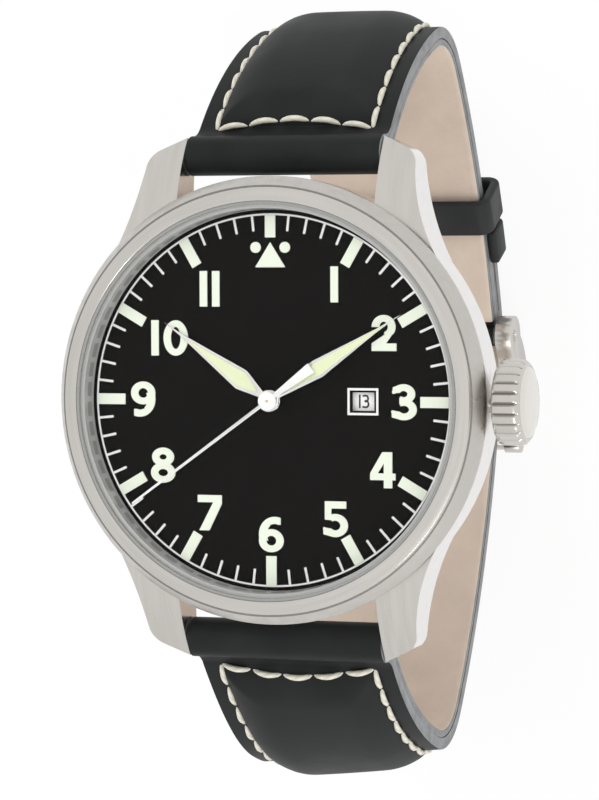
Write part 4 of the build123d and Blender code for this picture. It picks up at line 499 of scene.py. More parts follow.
def groove_shaded_steel(name, colour, turn):
    """Steel turned round an axis, with painted shade down in the grooves that the piece's attribute marks."""
    material, tree, shader = new_finish(name, colour, 0.24, 1.0)
    streaks = turned_streaks(tree, turn)
    tree.links.new(spread(tree, streaks, 0.2, 0.3, 0.3, 0.7), shader.inputs["Roughness"])
    # Painted shade: the marked grooves are darkened to half the colour.
    tint(tree, shader, attribute(tree, "groove"), colour, scaled(colour, 0.5), 0.35, 1.0)
    bump(tree, shader, streaks, 0.15, 0.0008 * mm)
    return material


def straight_steel(name, colour, roughness, scale=(1600.0, 20.0, 300.0)):
    """Steel brushed in straight lines."""
    material, tree, shader = new_finish(name, colour, roughness, 1.0)
    brushed(tree, shader, noise(tree, mapped(tree, scale), 1.0, 1.5, 0.4), colour, roughness)
    return material


def polished_steel(name, colour, roughness):
    """Polished steel with faint smears."""
    material, tree, shader = new_finish(name, colour, roughness, 1.0)
    smears = noise(tree, mapped(tree), 900.0, 3.0)
    gloss = spread(tree, smears, roughness * 0.7, roughness * 1.6, 0.3, 0.7)
    tree.links.new(gloss, shader.inputs["Roughness"])
    return material


def grained(name, colour, gloss, grain, contrast, strength, depth):
    """A finish with a grain in tone and relief. Gloss is roughness, metallic share and specular level."""
    material, tree, shader = new_finish(name, colour, *gloss)
    speckle = noise(tree, mapped(tree), *grain)
    tint(tree, shader, speckle, scaled(colour, 1 - contrast), scaled(colour, 1 + contrast))
    bump(tree, shader, speckle, strength, depth)
    return material


def plain_finish(name, colour, roughness, metallic=0.0):
    """A matt or satin finish."""
    return grained(name, colour, (roughness, metallic, 0.5), (3500.0, 3.0, 0.6), 0.08, 0.4, 0.003 * mm)


def matt_dial(name, colour):
    """Matt black dial lacquer with a fine tooth."""
    return grained(name, colour, (0.6, 0.0, 0.04), (12000.0, 2.0), 0.15, 0.1, 0.002 * mm)


def luminous(name, colour):
    """Cream luminous paint, slightly grainy."""
    return grained(name, colour, (0.6, 0.0, 0.3), (9000.0, 3.0), 0.04, 0.3, 0.01 * mm)


def cover_leather(name, colour):
    """Fine grained black leather: pores, soft creases and uneven gloss."""
    material, tree, shader = new_finish(name, colour, 0.48, 0.0, 0.1)
    pores = cells(tree, mapped(tree), 2600.0)
    creases = noise(tree, mapped(tree), 1300.0, 4.0, 0.6)
    cloud = noise(tree, mapped(tree), 160.0, 3.0, 0.5)
    tint(tree, shader, cloud, scaled(colour, 0.82), scaled(colour, 1.2), 0.3, 0.7)
    tree.links.new(spread(tree, cloud, 0.44, 0.56, 0.3, 0.7), shader.inputs["Roughness"])
    relief = bump(tree, shader, pores, 0.16, 0.03 * mm)
    bump(tree, shader, creases, 0.2, 0.05 * mm, relief)
    return material


def edge_leather(name, colour):
    """The painted, burnished cut edge of the strap."""
    material, tree, shader = new_finish(name, colour, 0.5)
    layers = noise(tree, mapped(tree, (1500.0, 500.0, 500.0)), 1.0, 3.0)
    tint(tree, shader, layers, scaled(colour, 0.8), scaled(colour, 1.25))
    bump(tree, shader, layers, 0.3, 0.04 * mm)
    return material


def lining_leather(name, colour):
    """Smooth tan lining with fine pores."""
    material, tree, shader = new_finish(name, colour, 0.62, 0.0, 0.35)
    cloud = noise(tree, mapped(tree), 220.0, 4.0, 0.6)
    pores = cells(tree, mapped(tree), 1500.0)
    holes = spread(tree, pores, 0.0, 1.0, 0.05, 0.3)
    clouded = spread(tree, cloud, 0.35, 1.0, 0.25, 0.75)
    shade = math_node(tree, "MULTIPLY", clouded, spread(tree, holes, 0.75, 1.0))
    tint(tree, shader, shade, scaled(colour, 0.9), scaled(colour, 1.04), 0.2, 0.9)
    relief = bump(tree, shader, holes, 0.35, 0.03 * mm)
    bump(tree, shader, noise(tree, mapped(tree), 900.0, 4.0), 0.3, 0.05 * mm, relief)
    return material


def flange_enamel(name, colour):
    """The satin flange ring, with a broken darker line that is a painted reflection of the minute ring."""
    material, tree, shader = new_finish(name, colour, 0.3, 0.0, 0.5)
    x, y, z = split_axes(tree, mapped(tree))
    minutes = math_node(tree, "MULTIPLY", math_node(tree, "ARCTAN2", y, x), 30 / pi)
    off = math_node(tree, "ABSOLUTE", math_node(tree, "SUBTRACT", math_node(tree, "FRACT", minutes), 0.5))
    dash = math_node(tree, "LESS_THAN", off, reflected_dash_share)
    above = math_node(tree, "GREATER_THAN", z, reflected_dash_low)
    below = math_node(tree, "LESS_THAN", z, reflected_dash_high)
    # Painted reflection of the minute ring: dashes darkened between two heights.
    line = math_node(tree, "MULTIPLY", math_node(tree, "MULTIPLY", above, below), dash)
    rings = noise(tree, ring_coordinates(tree, 3000.0, 3.0), 1.0, 2.0)
    shade = math_node(tree, "ADD", spread(tree, rings, 0.9, 1.0), math_node(tree, "MULTIPLY", line, -0.45))
    tint(tree, shader, shade, scaled(colour, 0.1), colour, 0.0, 1.0)
    return material


def waxed_thread(name, colour):
    """Two ply twisted thread, from the attributes that the stitches carry."""
    material, tree, shader = new_finish(name, colour, 0.6)
    along = math_node(tree, "MULTIPLY", attribute(tree, "along"), 3.0)
    around = math_node(tree, "MULTIPLY", attribute(tree, "around"), 2.0)
    turns = math_node(tree, "ADD", along, around)
    ply = math_node(tree, "SINE", math_node(tree, "MULTIPLY", turns, 2 * pi))
    fibres = math_node(tree, "MULTIPLY", noise(tree, mapped(tree), 9000.0, 2.0), 0.3)
    shade = math_node(tree, "ADD", spread(tree, ply, 0.2, 0.7, -1.0, 1.0), fibres)
    tint(tree, shader, shade, scaled(colour, 0.86), scaled(colour, 1.08), 0.25, 0.8)
    bump(tree, shader, ply, 0.2, 0.04 * mm)
    return material


def clear_crystal(name):
    """A mirror that lets through what it doesn't reflect."""
    material, tree, shader = new_finish(name, (1.0, 1.0, 1.0), 0.02, 1.0)
    fresnel = add_node(tree, "ShaderNodeFresnel", {"IOR": 1.45})
    tree.links.new(math_node(tree, "MULTIPLY", fresnel.outputs[0], 0.08), shader.inputs["Alpha"])
    return material


# Strap line

def follow(start, heading, steps):
    """Lay out lines and arcs end to end."""
    y, z = start
    pieces = []
    for kind, amount, radius in steps:
        if kind == "line":
            pieces.append((kind, (y, z), heading, amount, 0.0, amount))
            y += amount * cos(radians(heading))
            z -= amount * sin(radians(heading))
        else:
            signed = radius if amount > 0 else -radius
            centre = (y - signed * sin(radians(heading)), z - signed * cos(radians(heading)))
            pieces.append((kind, centre, heading, amount, signed, abs(radians(amount) * radius)))
            heading += amount
            y = centre[0] + signed * sin(radians(heading))
            z = centre[1] + signed * cos(radians(heading))
    return pieces


def length_of(pieces):
    """Length of a line's pieces together."""
    return sum(piece[5] for piece in pieces)


def line_at(pieces, distance, depth=0.0):
    """Place (y, z) at a distance along the line and a depth inside it, with the heading."""
    distance = max(distance, 0.0)
    for piece in pieces:
        if distance <= piece[5] or piece is pieces[-1]:
            break
        distance -= piece[5]
    kind, anchor, heading, amount, signed, length = piece
    if kind == "line":
        turn = radians(heading)
        return (anchor[0] + distance * cos(turn) - depth * sin(turn),
                anchor[1] - distance * sin(turn) - depth * cos(turn)), heading
    heading += amount * distance / length
    turn = radians(heading)
    reach = signed - depth
    return (anchor[0] + reach * sin(turn), anchor[1] + reach * cos(turn)), heading


line_start = (bar_reach + line_offset * sin(radians(strap_heading)),
              bar_height + line_offset * cos(radians(strap_heading)))
front_steps = [("line", strap_run, 0), ("arc", front_turn, front_radius), ("arc", top_turn, top_radius)]
front_pieces = follow(line_start, strap_heading, front_steps)
(top_end_y, _), top_end_heading = line_at(front_pieces, length_of(front_pieces))
rear_tilt = radians(180 - top_end_heading - rear_turn)
rear_radius = (top_end_y - end_radius * sin(rear_tilt)) / (sin(radians(top_end_heading)) - sin(rear_tilt))
shared_steps = front_steps + [("arc", rear_turn, rear_radius)]
shared_pieces = follow(line_start, strap_heading, shared_steps)
rear_end = length_of(shared_pieces)
rear_end_y = line_at(shared_pieces, rear_end)[0][0]
tail_offset = strap_thickness + layer_gap
tail_run = tail_offset / tan(rear_tilt)
tail_crossing = 2 * rear_end_y + tail_offset * sin(rear_tilt) - tail_run * cos(rear_tilt)
tail_radius = tail_crossing / sin(rear_tilt) / 2
short_line = follow(line_start, strap_heading, shared_steps + [("arc", end_turn, end_radius)])
long_line = follow(line_start, strap_heading, shared_steps + [
    ("line", tail_run, 0), ("arc", 2 * degrees(rear_tilt), tail_radius),
    ("arc", tail_end_turn, rear_radius + tail_offset)])
loop_low = line_at(short_line, length_of(short_line))[0][1]
tail_tip_y = line_at(long_line, length_of(long_line))[0][0]


def half_width_at(z):
    """Half the strap's width at a height: it narrows from the lugs to the buckle."""
    share = min(max((bar_height - z) / (bar_height - loop_low), 0), 1)
    return (strap_width + share * (strap_width_at_buckle - strap_width)) / 2


def tip_half_width(y, half):
    """Half width of the long half near its rounded tip."""
    start = abs(tail_tip_y) - tail_tip_length
    share = min(max((-y - start) / tail_tip_length, 0), 1)
    narrow = tail_tip_width / 2
    return narrow + (half - narrow) * (1 - share ** tail_tip_power)


class StrapHalf:
    """One strap half: its line, its side of the case and the shape of its outer face."""

    def __init__(self, pieces, side, fade, seam_shift):
        self.pieces = pieces
        self.side = side
        self.length = length_of(pieces)
        self.fade_start, self.fade_end = fade
        self.seam_shift = seam_shift

    def half_width(self, s, depth=0.0):
        """Half the width at a distance along the line and a depth under it."""
        (y, z), _ = line_at(self.pieces, s, depth)
        half = half_width_at(z)
        beyond = self.side < 0 and s > rear_end + tail_run
        return tip_half_width(y, half) if beyond else half

    def pad(self, s, u, settings):
        """Height of the padded centre over the rim, u across from the middle."""
        narrowing = half_width_at(line_at(self.pieces, s)[0][1]) - strap_width / 2
        inside_u = settings.pad_half_width + narrowing - abs(u)
        inside_s = s - pad_start - self.seam_shift
        if inside_u < pad_corner and inside_s < pad_corner:
            inside = pad_corner - hypot(pad_corner - inside_u, pad_corner - inside_s)
        else:
            inside = min(inside_u, inside_s)
        groove = -groove_depth * float(np.exp(-((inside - groove_place) / groove_width) ** 2))
        share = min(max(inside / pad_shoulder, 0), 1)
        shoulder = (1 - (1 - share) ** pad_shoulder_power) ** pad_foot_power
        crown = 1 + pad_crown_share * (1 - (u / settings.pad_half_width) ** 2)
        fade = smooth((s - self.fade_start) / (self.fade_end - self.fade_start))
        return settings.pad_height * (1 - fade) * shoulder * crown + groove

    def place(self, s, u, height):
        """A point u across and a height over the line, and the outward normal there."""
        (y, z), heading = line_at(self.pieces, s, -height)
        turn = radians(heading)
        out = Vector((0, self.side * sin(turn), cos(turn)))
        return Vector((u, self.side * y - self.sag(s, u), z)), out

    def sag(self, s, u):
        """How far the long half hangs below its line, more on the side away from the crown."""
        if self.side > 0:
            return 0.0
        share = smooth((s - sag_start) / sag_rise) * (1 - smooth((s - sag_end) / sag_fall))
        return share * (sag_depth - sag_twist * u / (strap_width / 2))

    def flat_row(self, across, place):
        """A row of points at a place (y, z) beside the line."""
        y, z = place
        wide = half_width_at(z)
        return [(u * wide, self.side * y, z) for u in across]

    def padded_row(self, across, s, settings):
        """A row of points on the padded outer face."""
        wide = self.half_width(s)
        return [tuple(self.place(s, u * wide, self.pad(s, u * wide, settings))[0]) for u in across]

    def inner_row(self, across, s, depth):
        """A row of points at a depth under the line."""
        wide = self.half_width(s, depth)
        return [tuple(self.place(s, u * wide, -depth)[0]) for u in across]


def smooth(share):
    """A soft step from 0 to 1."""
    share = min(max(share, 0.0), 1.0)
    return share * share * (3 - 2 * share)


short_half = StrapHalf(short_line, 1, short_fade, short_seam_shift)
long_half = StrapHalf(long_line, -1, long_fade, 0.0)


def stations(length, start, steps):
    """Distances along the line, close together near the lugs."""
    fine, coarse = steps
    first = np.arange(start, fine_zone, fine)
    rest = np.linspace(fine_zone, length, int((length - fine_zone) / coarse) + 2)
    return [float(s) for s in (*first, *rest)]


def columns():
    """Places across the strap from -1 to 1, close together at the padding's foot and at the edges."""
    outer = np.linspace(dense_from, 1.0, int((1 - dense_from) / column_step) + 1)
    inner = np.linspace(0.0, dense_from, int(dense_from / (column_step * column_widening)) + 1)[:-1]
    right = np.concatenate([inner, outer])
    return [float(v) for v in np.concatenate([-right[:0:-1], right])]


def beside(place, turn, across, along):
    """A place (y, z) moved across and along a line that slopes down by an angle."""
    y, z = place
    return y + across * sin(turn) + along * cos(turn), z + across * cos(turn) - along * sin(turn)


def roll_profile():
    """The roll round the spring bar: from under the strap, round the front, to the foot of its fillet."""
    turn, bar = radians(strap_heading), (bar_reach, bar_height)
    lift = line_offset + tube_fillet
    foot = sqrt((tube_radius + tube_fillet) ** 2 - lift ** 2)
    meet = pi + atan2(foot, lift)
    points = []
    for angle in np.linspace(-roll_under, meet, roll_steps):
        points.append(beside(bar, turn, -cos(angle) * tube_radius, -sin(angle) * tube_radius))
    for angle in np.linspace(meet, pi, fillet_steps)[1:]:
        points.append(beside(bar, turn, lift + tube_fillet * cos(angle), foot + tube_fillet * sin(angle)))
    return points, foot


def eye_profile(half):
    """The eye round the buckle bar, from the outer face round the end to the cover's inner face."""
    middle, heading = line_at(half.pieces, half.length, buckle_eye_radius)
    points = []
    for angle in np.linspace(0, eye_wrap, eye_steps)[1:]:
        across, along = cos(angle) * buckle_eye_radius, sin(angle) * buckle_eye_radius
        points.append(beside(middle, radians(heading), across, along))
    return points


def closed_skin(name, rows, leather, edge):
    """A closed skin over rows of points. Its two many-cornered sides are the cut edges."""
    count = len(rows[0])
    faces = []
    for i in range(len(rows)):
        j = (i + 1) % len(rows)
        for k in range(count - 1):
            faces.append((i * count + k, i * count + k + 1, j * count + k + 1, j * count + k))
    faces.append([i * count for i in range(len(rows))])
    faces.append([i * count + count - 1 for i in range(len(rows))][::-1])
    piece = new_piece(name, [v for row in rows for v in row], faces, leather)
    piece.data.materials.append(edge)
    for polygon in piece.data.polygons:
        if len(polygon.vertices) > 4:
            polygon.material_index = 1
    return piece


def make_cover(half, name, settings, leather, edge):
    """The cover leather of one half, swept along the line."""
    roll, foot = roll_profile()
    eye, stop = (eye_profile(half), cover_stop) if half.side > 0 else ([], 0)
    across = columns()
    rows = [half.flat_row(across, place) for place in roll]
    for s in stations(half.length, foot + roll_clear, cover_steps):
        rows.append(half.padded_row(across, s, settings))
    rows += [half.flat_row(across, place) for place in eye]
    for s in reversed(stations(half.length - stop, back_start, back_steps)):
        rows.append(half.inner_row(across, s, cover_thickness))
    return closed_skin(name, rows, leather, edge)


def make_lining(half, name, lining, edge):
    """The lining of one half, under the cover leather."""
    spots = stations(half.length - (lining_stop if half.side > 0 else 0), lining_start, lining_steps)
    across = [float(v) for v in np.linspace(-1, 1, lining_columns)]
    rows = [half.inner_row(across, s, cover_thickness) for s in spots]
    rows += [half.inner_row(across, s, strap_thickness) for s in reversed(spots)]
    return closed_skin(name, rows, lining, edge)


# Strap holes

def add_block(vertices, faces, low, high):
    """An upright box between two corners."""
    first = len(vertices)
    vertices += [(x, y, z) for z in (low[2], high[2]) for y in (low[1], high[1]) for x in (low[0], high[0])]
    for face in ((0, 2, 3, 1), (4, 5, 7, 6), (0, 1, 5, 4), (2, 6, 7, 3), (0, 4, 6, 2), (1, 3, 7, 5)):
        faces.append([first + corner for corner in face])


def add_peg(vertices, faces, place, out, radius, half_length):
    """A round peg through a place."""
    first = len(vertices)
    side = Vector((1, 0, 0))
    ahead = out.cross(side)
    for end in (-half_length, half_length):
        for number in range(peg_sides):
            turn = 2 * pi * number / peg_sides
            vertices.append(tuple(place + out * end + (side * cos(turn) + ahead * sin(turn)) * radius))
    for number in range(peg_sides):
        after = (number + 1) % peg_sides
        faces.append((first + number, first + after, first + peg_sides + after, first + peg_sides + number))
    faces.append([first + number for number in reversed(range(peg_sides))])
    faces.append([first + peg_sides + number for number in range(peg_sides)])


def punch_holes(piece, holes):
    """Cut the tongue's slot through the piece and, where asked, the round adjusting holes."""
    (bar_y, bar_z), _ = line_at(short_line, short_half.length, buckle_eye_radius)
    (cross_y, _), _ = line_at(long_line, rear_end + crossbar_share * tail_run, -crossbar_lift)
    slot_end = bar_y + slot_share * (-cross_y - bar_y)
    vertices, faces = [], []
    add_block(vertices, faces, (-slot_half_width, slot_end, bar_z - slot_drop),
              (slot_half_width, bar_y + slot_behind, bar_z + 2 * buckle_eye_radius))
    crossing = rear_end + tail_run + tail_radius * rear_tilt
    for steps in hole_steps if holes else ():
        place, out = long_half.place(crossing + steps * hole_pitch, 0.0, 0.0)
        add_peg(vertices, faces, place, out, hole_radius, peg_reach)
    punch = new_piece("strap_punch", vertices, faces, None)
    modifier = piece.modifiers.new("Holes", "BOOLEAN")
    modifier.operation = "DIFFERENCE"
    modifier.solver = "EXACT"
    modifier.object = punch
    bake(piece, 50)
    bpy.data.objects.remove(punch)


# Stitches

def stitch_tree():
    """Geometry Nodes: a bowed, rounded stitch on every point, turned by the point's attribute."""
    tree = bpy.data.node_groups.new("Stitch Row", "GeometryNodeTree")
    face = tree.interface
    face.new_socket("Points", in_out="INPUT", socket_type="NodeSocketGeometry")
    length = face.new_socket("Stitch Length", in_out="INPUT", socket_type="NodeSocketFloat")
    width = face.new_socket("Thread Width", in_out="INPUT", socket_type="NodeSocketFloat")
    thread = face.new_socket("Thread", in_out="INPUT", socket_type="NodeSocketMaterial")
    face.new_socket("Stitches", in_out="OUTPUT", socket_type="NodeSocketGeometry")

    def add(kind, inputs, **settings):
        """The first output of a new node."""
        return add_node(tree, kind, inputs, **settings).outputs[0]

    given = tree.nodes.new("NodeGroupInput").outputs
    across = given["Thread Width"]
    half = math_node(tree, "MULTIPLY", given["Stitch Length"], 0.5)
    back = math_node(tree, "MULTIPLY", half, -1.0)
    sunk = math_node(tree, "MULTIPLY", across, -stitch_sink)
    bowed = math_node(tree, "MULTIPLY", across, stitch_rise)
    bow = {"Resolution": stitch_segments}
    for name, x, z in (("Start", back, sunk), ("Middle", 0.0, bowed), ("End", half, sunk)):
        bow[name] = add("ShaderNodeCombineXYZ", {0: x, 2: z})
    curve = add("GeometryNodeCurveQuadraticBezier", bow)
    share = tree.nodes.new("GeometryNodeSplineParameter").outputs["Factor"]
    swell = math_node(tree, "MAXIMUM", math_node(tree, "SINE", math_node(tree, "MULTIPLY", share, pi)), 0.0)
    plump = math_node(tree, "MULTIPLY", math_node(tree, "POWER", swell, stitch_taper), stitch_body)
    thick = math_node(tree, "MULTIPLY", math_node(tree, "ADD", plump, stitch_tip), across)
    line = add("GeometryNodeSetCurveRadius", {"Curve": curve, "Radius": thick})
    ring = add("GeometryNodeCurvePrimitiveCircle", {"Resolution": thread_sides, "Radius": 1.0})
    tube = {"Fill Caps": True, "Scale": tree.nodes.new("GeometryNodeInputRadius").outputs[0]}
    for name, source, target in (("along", line, "Curve"), ("around", ring, "Profile Curve")):
        mark = {"Geometry": source, "Name": name, "Value": share}
        tube[target] = add("GeometryNodeStoreNamedAttribute", mark, data_type="FLOAT", domain="POINT")
    stitch = add("GeometryNodeCurveToMesh", tube)
    turn = add("GeometryNodeInputNamedAttribute", {"Name": "turn"}, data_type="FLOAT_VECTOR")
    spin = add("FunctionNodeEulerToRotation", {0: turn})
    seam = {"Points": given["Points"], "Instance": stitch, "Rotation": spin}
    sewn = add("GeometryNodeInstanceOnPoints", seam)
    real = add("GeometryNodeRealizeInstances", {0: sewn})
    painted = add("GeometryNodeSetMaterial", {"Geometry": real, "Material": given["Thread"]})
    tree.links.new(painted, tree.nodes.new("NodeGroupOutput").inputs[0])
    return tree, (length.identifier, width.identifier, thread.identifier)


def stitch_row(name, spots, length, width, thread):
    """Stitches at (place, direction along, outward normal) spots, as one plain mesh."""
    mesh = bpy.data.meshes.new(name)
    mesh.from_pydata([tuple(place) for place, _, _ in spots], [], [])
    turns = mesh.attributes.new("turn", "FLOAT_VECTOR", "POINT")
    for item, (_, along, out) in zip(turns.data, spots):
        x = along.normalized()
        z = (out - x * out.dot(x)).normalized()
        y = z.cross(x)
        item.vector = Matrix((x, y, z)).transposed().to_euler("XYZ")
    row = bpy.data.objects.new(name, mesh)
    bpy.context.scene.collection.objects.link(row)
    tree, (length_id, width_id, thread_id) = stitch_tree()
    modifier = row.modifiers.new("Stitches", "NODES")
    modifier.node_group = tree
    modifier[length_id] = length
    modifier[width_id] = width
    modifier[thread_id] = thread
    bake(row, 60)
    tidy_mesh(row.data)
    return row


def spot_between(half, first, second, settings):
    """One stitch between two holes, each given as a distance along and across."""
    ends, outs = [], []
    for s, u in (first, second):
        place, out = half.place(s, u, half.pad(s, u, settings))
        ends.append(place)
        outs.append(out)
    return (ends[0] + ends[1]) / 2, ends[1] - ends[0], (outs[0] + outs[1]) / 2


def seam_spots(half, settings):
    """Stitches along both sides and across the foot of the padding."""
    start, end = seam_corner + half.seam_shift, half.length - seam_end
    count = int((end - start) / settings.stitch_pitch)
    seams = []
    for sign in (-1, 1):
        side = [start + number * settings.stitch_pitch for number in range(count + 1)]
        seams.append([(s, sign * (half.half_width(s) - settings.stitch_inset)) for s in side])
    corner = half.half_width(start) - settings.stitch_inset
    row = np.linspace(-corner, corner, row_stitches + 1)
    seams.append([(start + seam_bow * (1 - (u / corner) ** 2), float(u)) for u in row])
    return [spot_between(half, *pair, settings) for holes in seams for pair in zip(holes, holes[1:])]


# Pieces

def crystal_outline():
    """Half the section of the slightly domed crystal, from its middle out."""
    dome = crystal_radius - crystal_bevel
    points = []
    for k in range(crystal_steps, -1, -1):
        share = k / crystal_steps
        points.append((dome * k / crystal_steps, crystal_top - (crystal_top - crystal_rim) * share ** 2))
    shoulder = (crystal_radius, crystal_rim - crystal_bevel)
    return [(0.0, crystal_low), (crystal_radius, crystal_low), shoulder, *points]


def make_bezel(steel):
    """The bezel: turned steel on top, a plainer side, and painted shade along both its seams."""
    outline = rounded(bezel_outline, bezel_corner, 3)
    bezel = turned_piece("bezel_ring", outline, turned_steel("bezel_steel", steel, 0.3), 300, 20)
    bezel.data.materials.append(polished_steel("bezel_side_steel", scaled(steel, 0.9), 0.3))
    bezel.data.materials.append(plain_finish("seam_shadow", seam_shade_colour, 0.5, 1.0))
    for polygon in bezel.data.polygons:
        radius, height = hypot(polygon.center.x, polygon.center.y), polygon.center.z
        if radius > bezel_side and height < bezel_shoulder:
            # The faces at both seams of the side get the dark material: painted shade.
            seam = height < bezel_foot or height > bezel_ledge
            polygon.material_index = 2 if seam else 1
    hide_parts("bezel")
    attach(bezel, "case")


def make_case(steel, polished):
    """The case middle, with polished flanks under its brushed top."""
    case = softened("case_middle", 0.0, straight_steel("case_steel", steel, 0.3))
    case.data.materials.append(polished_steel("flank_steel", polished, 0.16))
    for polygon in case.data.polygons:
        if -under_normal < polygon.normal.z < flank_normal:
            polygon.material_index = 1
    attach(case, "case")


def make_crystal(glass):
    """The crystal."""
    crystal = turned_piece("crystal_disc", crystal_outline(), glass, 200, 12)
    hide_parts("crystal")
    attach(crystal, "case")


class WATCH_OT_case(bpy.types.Operator):
    """Finish the case, bezel, back and crystal"""

    bl_idname = "watch.case"
    bl_label = "Case"

    def execute(self, context):
        colours = context.scene.watch_finishes
        steel = tuple(colours.steel)
        make_bezel(steel)
        make_case(steel, tuple(colours.polished))
        dress("flange_ring", flange_enamel("flange_satin", flange_colour))
        dress("case_back", turned_steel("back_steel", steel, 0.28))
        glass = clear_crystal("crystal_glass")
        make_crystal(glass)
        dress("case_back_window", glass)
        dress("crystal_gasket", plain_finish("clear_nylon", nylon_colour, 0.4))
        rubber = plain_finish("gasket_rubber", rubber_colour, 0.6)
        for node in ("window_gasket", "case_back_gasket", "crown_gasket"):
            dress(node, rubber)
        satin = turned_steel("satin_steel", scaled(steel, 0.95), 0.32)
        for node in ("crown_tube", "spring_bars", "winding_stem", "winding_pinion", "sliding_pinion"):
            dress(node, satin)
        return {"FINISHED"}


def flute_offset(turn):
    """How far a direction is from the middle of the nearest flute, as a share of the flute's half."""
    return abs((turn + 180 / flutes) % (360 / flutes) - 180 / flutes) / flute_half_turn


def crown_skin():
    """Corners and faces of the crown: its grip runs out at both shoulders, and a domed cap closes it."""
    count = flutes * flute_steps
    vertices, faces = [], []
    for x, radius, share in crown_outline:
        for number in range(count):
            turn = 360 * number / count
            cut = flute_depth * share * (0.5 + 0.5 * cos(pi * min(flute_offset(turn), 1))) ** flute_power
            turn = radians(turn)
            vertices.append((x, (radius - cut) * cos(turn), crown_axis + (radius - cut) * sin(turn)))
    last = (len(crown_outline) - 1) * count
    for row in range(0, last, count):
        for number in range(count):
            after = (number + 1) % count
            faces.append((row + number, row + after, row + count + after, row + count + number))
    faces.append(list(range(count)))
    faces.append([last + number for number in reversed(range(count))])
    return vertices, faces


def make_crown(fluted_steel, cap_steel):
    """The fluted crown, whose grooves are marked for the painted shade in its steel."""
    vertices, faces = crown_skin()
    crown = new_piece("crown_body", vertices, faces, fluted_steel, 50)
    # The groove attribute marks where the steel's painted shade falls.
    grooves = crown.data.attributes.new("groove", "FLOAT", "POINT")
    for item, vertex in zip(grooves.data, crown.data.vertices):
        x, y, z = vertex.co.x, vertex.co.y, vertex.co.z - crown_axis
        outer = hypot(y, z) > flute_inner and x < flute_end
        item.value = max(1 - flute_offset(degrees(atan2(z, y))), 0.0) if outer else 0.0
    crown.data.materials.append(cap_steel)
    cap_start, cap_radius, _ = crown_outline[-cap_rows]
    for polygon in crown.data.polygons:
        centre = polygon.center
        if centre.x > cap_start and hypot(centre.y, centre.z - crown_axis) < cap_radius:
            polygon.material_index = 1
    return crown


class WATCH_OT_crown(bpy.types.Operator):
    """Finish the fluted crown"""

    bl_idname = "watch.crown"
    bl_label = "Crown"

    def execute(self, context):
        steel = tuple(context.scene.watch_finishes.steel)
        turn = (0.0, radians(-90), 0.0)
        finish = groove_shaded_steel("crown_steel", steel, turn)
        crown = make_crown(finish, polished_steel("crown_cap_steel", scaled(steel, 1.2), 0.14))
        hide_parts("crown")
        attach(crown, "crown")
        return {"FINISHED"}


class WATCH_OT_dial(bpy.types.Operator):
    """Finish the dial, its print, markers, numerals and date"""

    bl_idname = "watch.dial"
    bl_label = "Dial"

    def execute(self, context):
        colours = context.scene.watch_finishes
        dress("dial", matt_dial("dial_lacquer", tuple(colours.dial)))
        lume = luminous("dial_lume", tuple(colours.lume))
        for node in ("hour_markers", "numerals"):
            dress(node, lume)
        hand_lume = luminous("hand_lume", tuple(colours.hand_lume))
        for node in ("hour_hand_lume", "minute_hand_lume"):
            dress(node, hand_lume)
        dress("dial_print", plain_finish("print_white", print_white_colour, 0.6))
        dress("date_ring", plain_finish("date_enamel", date_colour, 0.6))
        black = plain_finish("print_black", print_black_colour, 0.6)
        digits = softened("date_digits", 0.0, black)
        broaden_print(digits, digit_growth)
        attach(digits, "date_ring")
        return {"FINISHED"}


class WATCH_OT_hands(bpy.types.Operator):
    """Finish the three hands"""

    bl_idname = "watch.hands"
    bl_label = "Hands"

    def execute(self, context):
        finish = polished_steel("hand_steel", hand_colour, 0.22)
        # The seconds hand gets a matt near-white finish in place of polished steel.
        bright = plain_finish("seconds_matt_white", seconds_colour, 0.45)
        for node, body, steel in (("hour_hand", "hour_hand", finish), ("minute_hand", "minute_hand", finish),
                                  ("seconds_hand", "fourth_wheel", bright)):
            hand = softened(node, hand_edge, steel)
            if node == "seconds_hand":
                broaden(hand, seconds_growth)
            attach(hand, body)
        for node in ("cannon_pinion", "hour_wheel"):
            dress(node, finish)
        return {"FINISHED"}


class WATCH_OT_movement(bpy.types.Operator):
    """Finish the movement behind the dial"""

    bl_idname = "watch.movement"
    bl_label = "Movement"

    def execute(self, context):
        plated = straight_steel("striped_plating", plating_colour, 0.28, (1200.0, 60.0, 1200.0))
        for node in ("main_plate", "barrel_bridge", "train_bridge", "balance_cock", "rotor", "movement_ring"):
            dress(node, plated)
        gilt = turned_steel("gilt_brass", brass_colour, 0.25)
        for node in ("barrel", "centre_wheel", "third_wheel", "fourth_wheel", "balance_wheel",
                     "minute_wheel"):
            dress(node, gilt)
        satin = turned_steel("wheel_steel", wheel_colour, 0.25)
        for node in ("ratchet_wheel", "crown_wheel", "escape_wheel", "pallet_fork", "mainspring", "rotor_hub",
                     "casing_clamps"):
            dress(node, satin)
        blued = polished_steel("blued_steel", blued_colour, 0.15)
        for node in ("movement_screws", "hairspring"):
            dress(node, blued)
        dress("jewels", plain_finish("ruby", ruby_colour, 0.1))
        return {"FINISHED"}


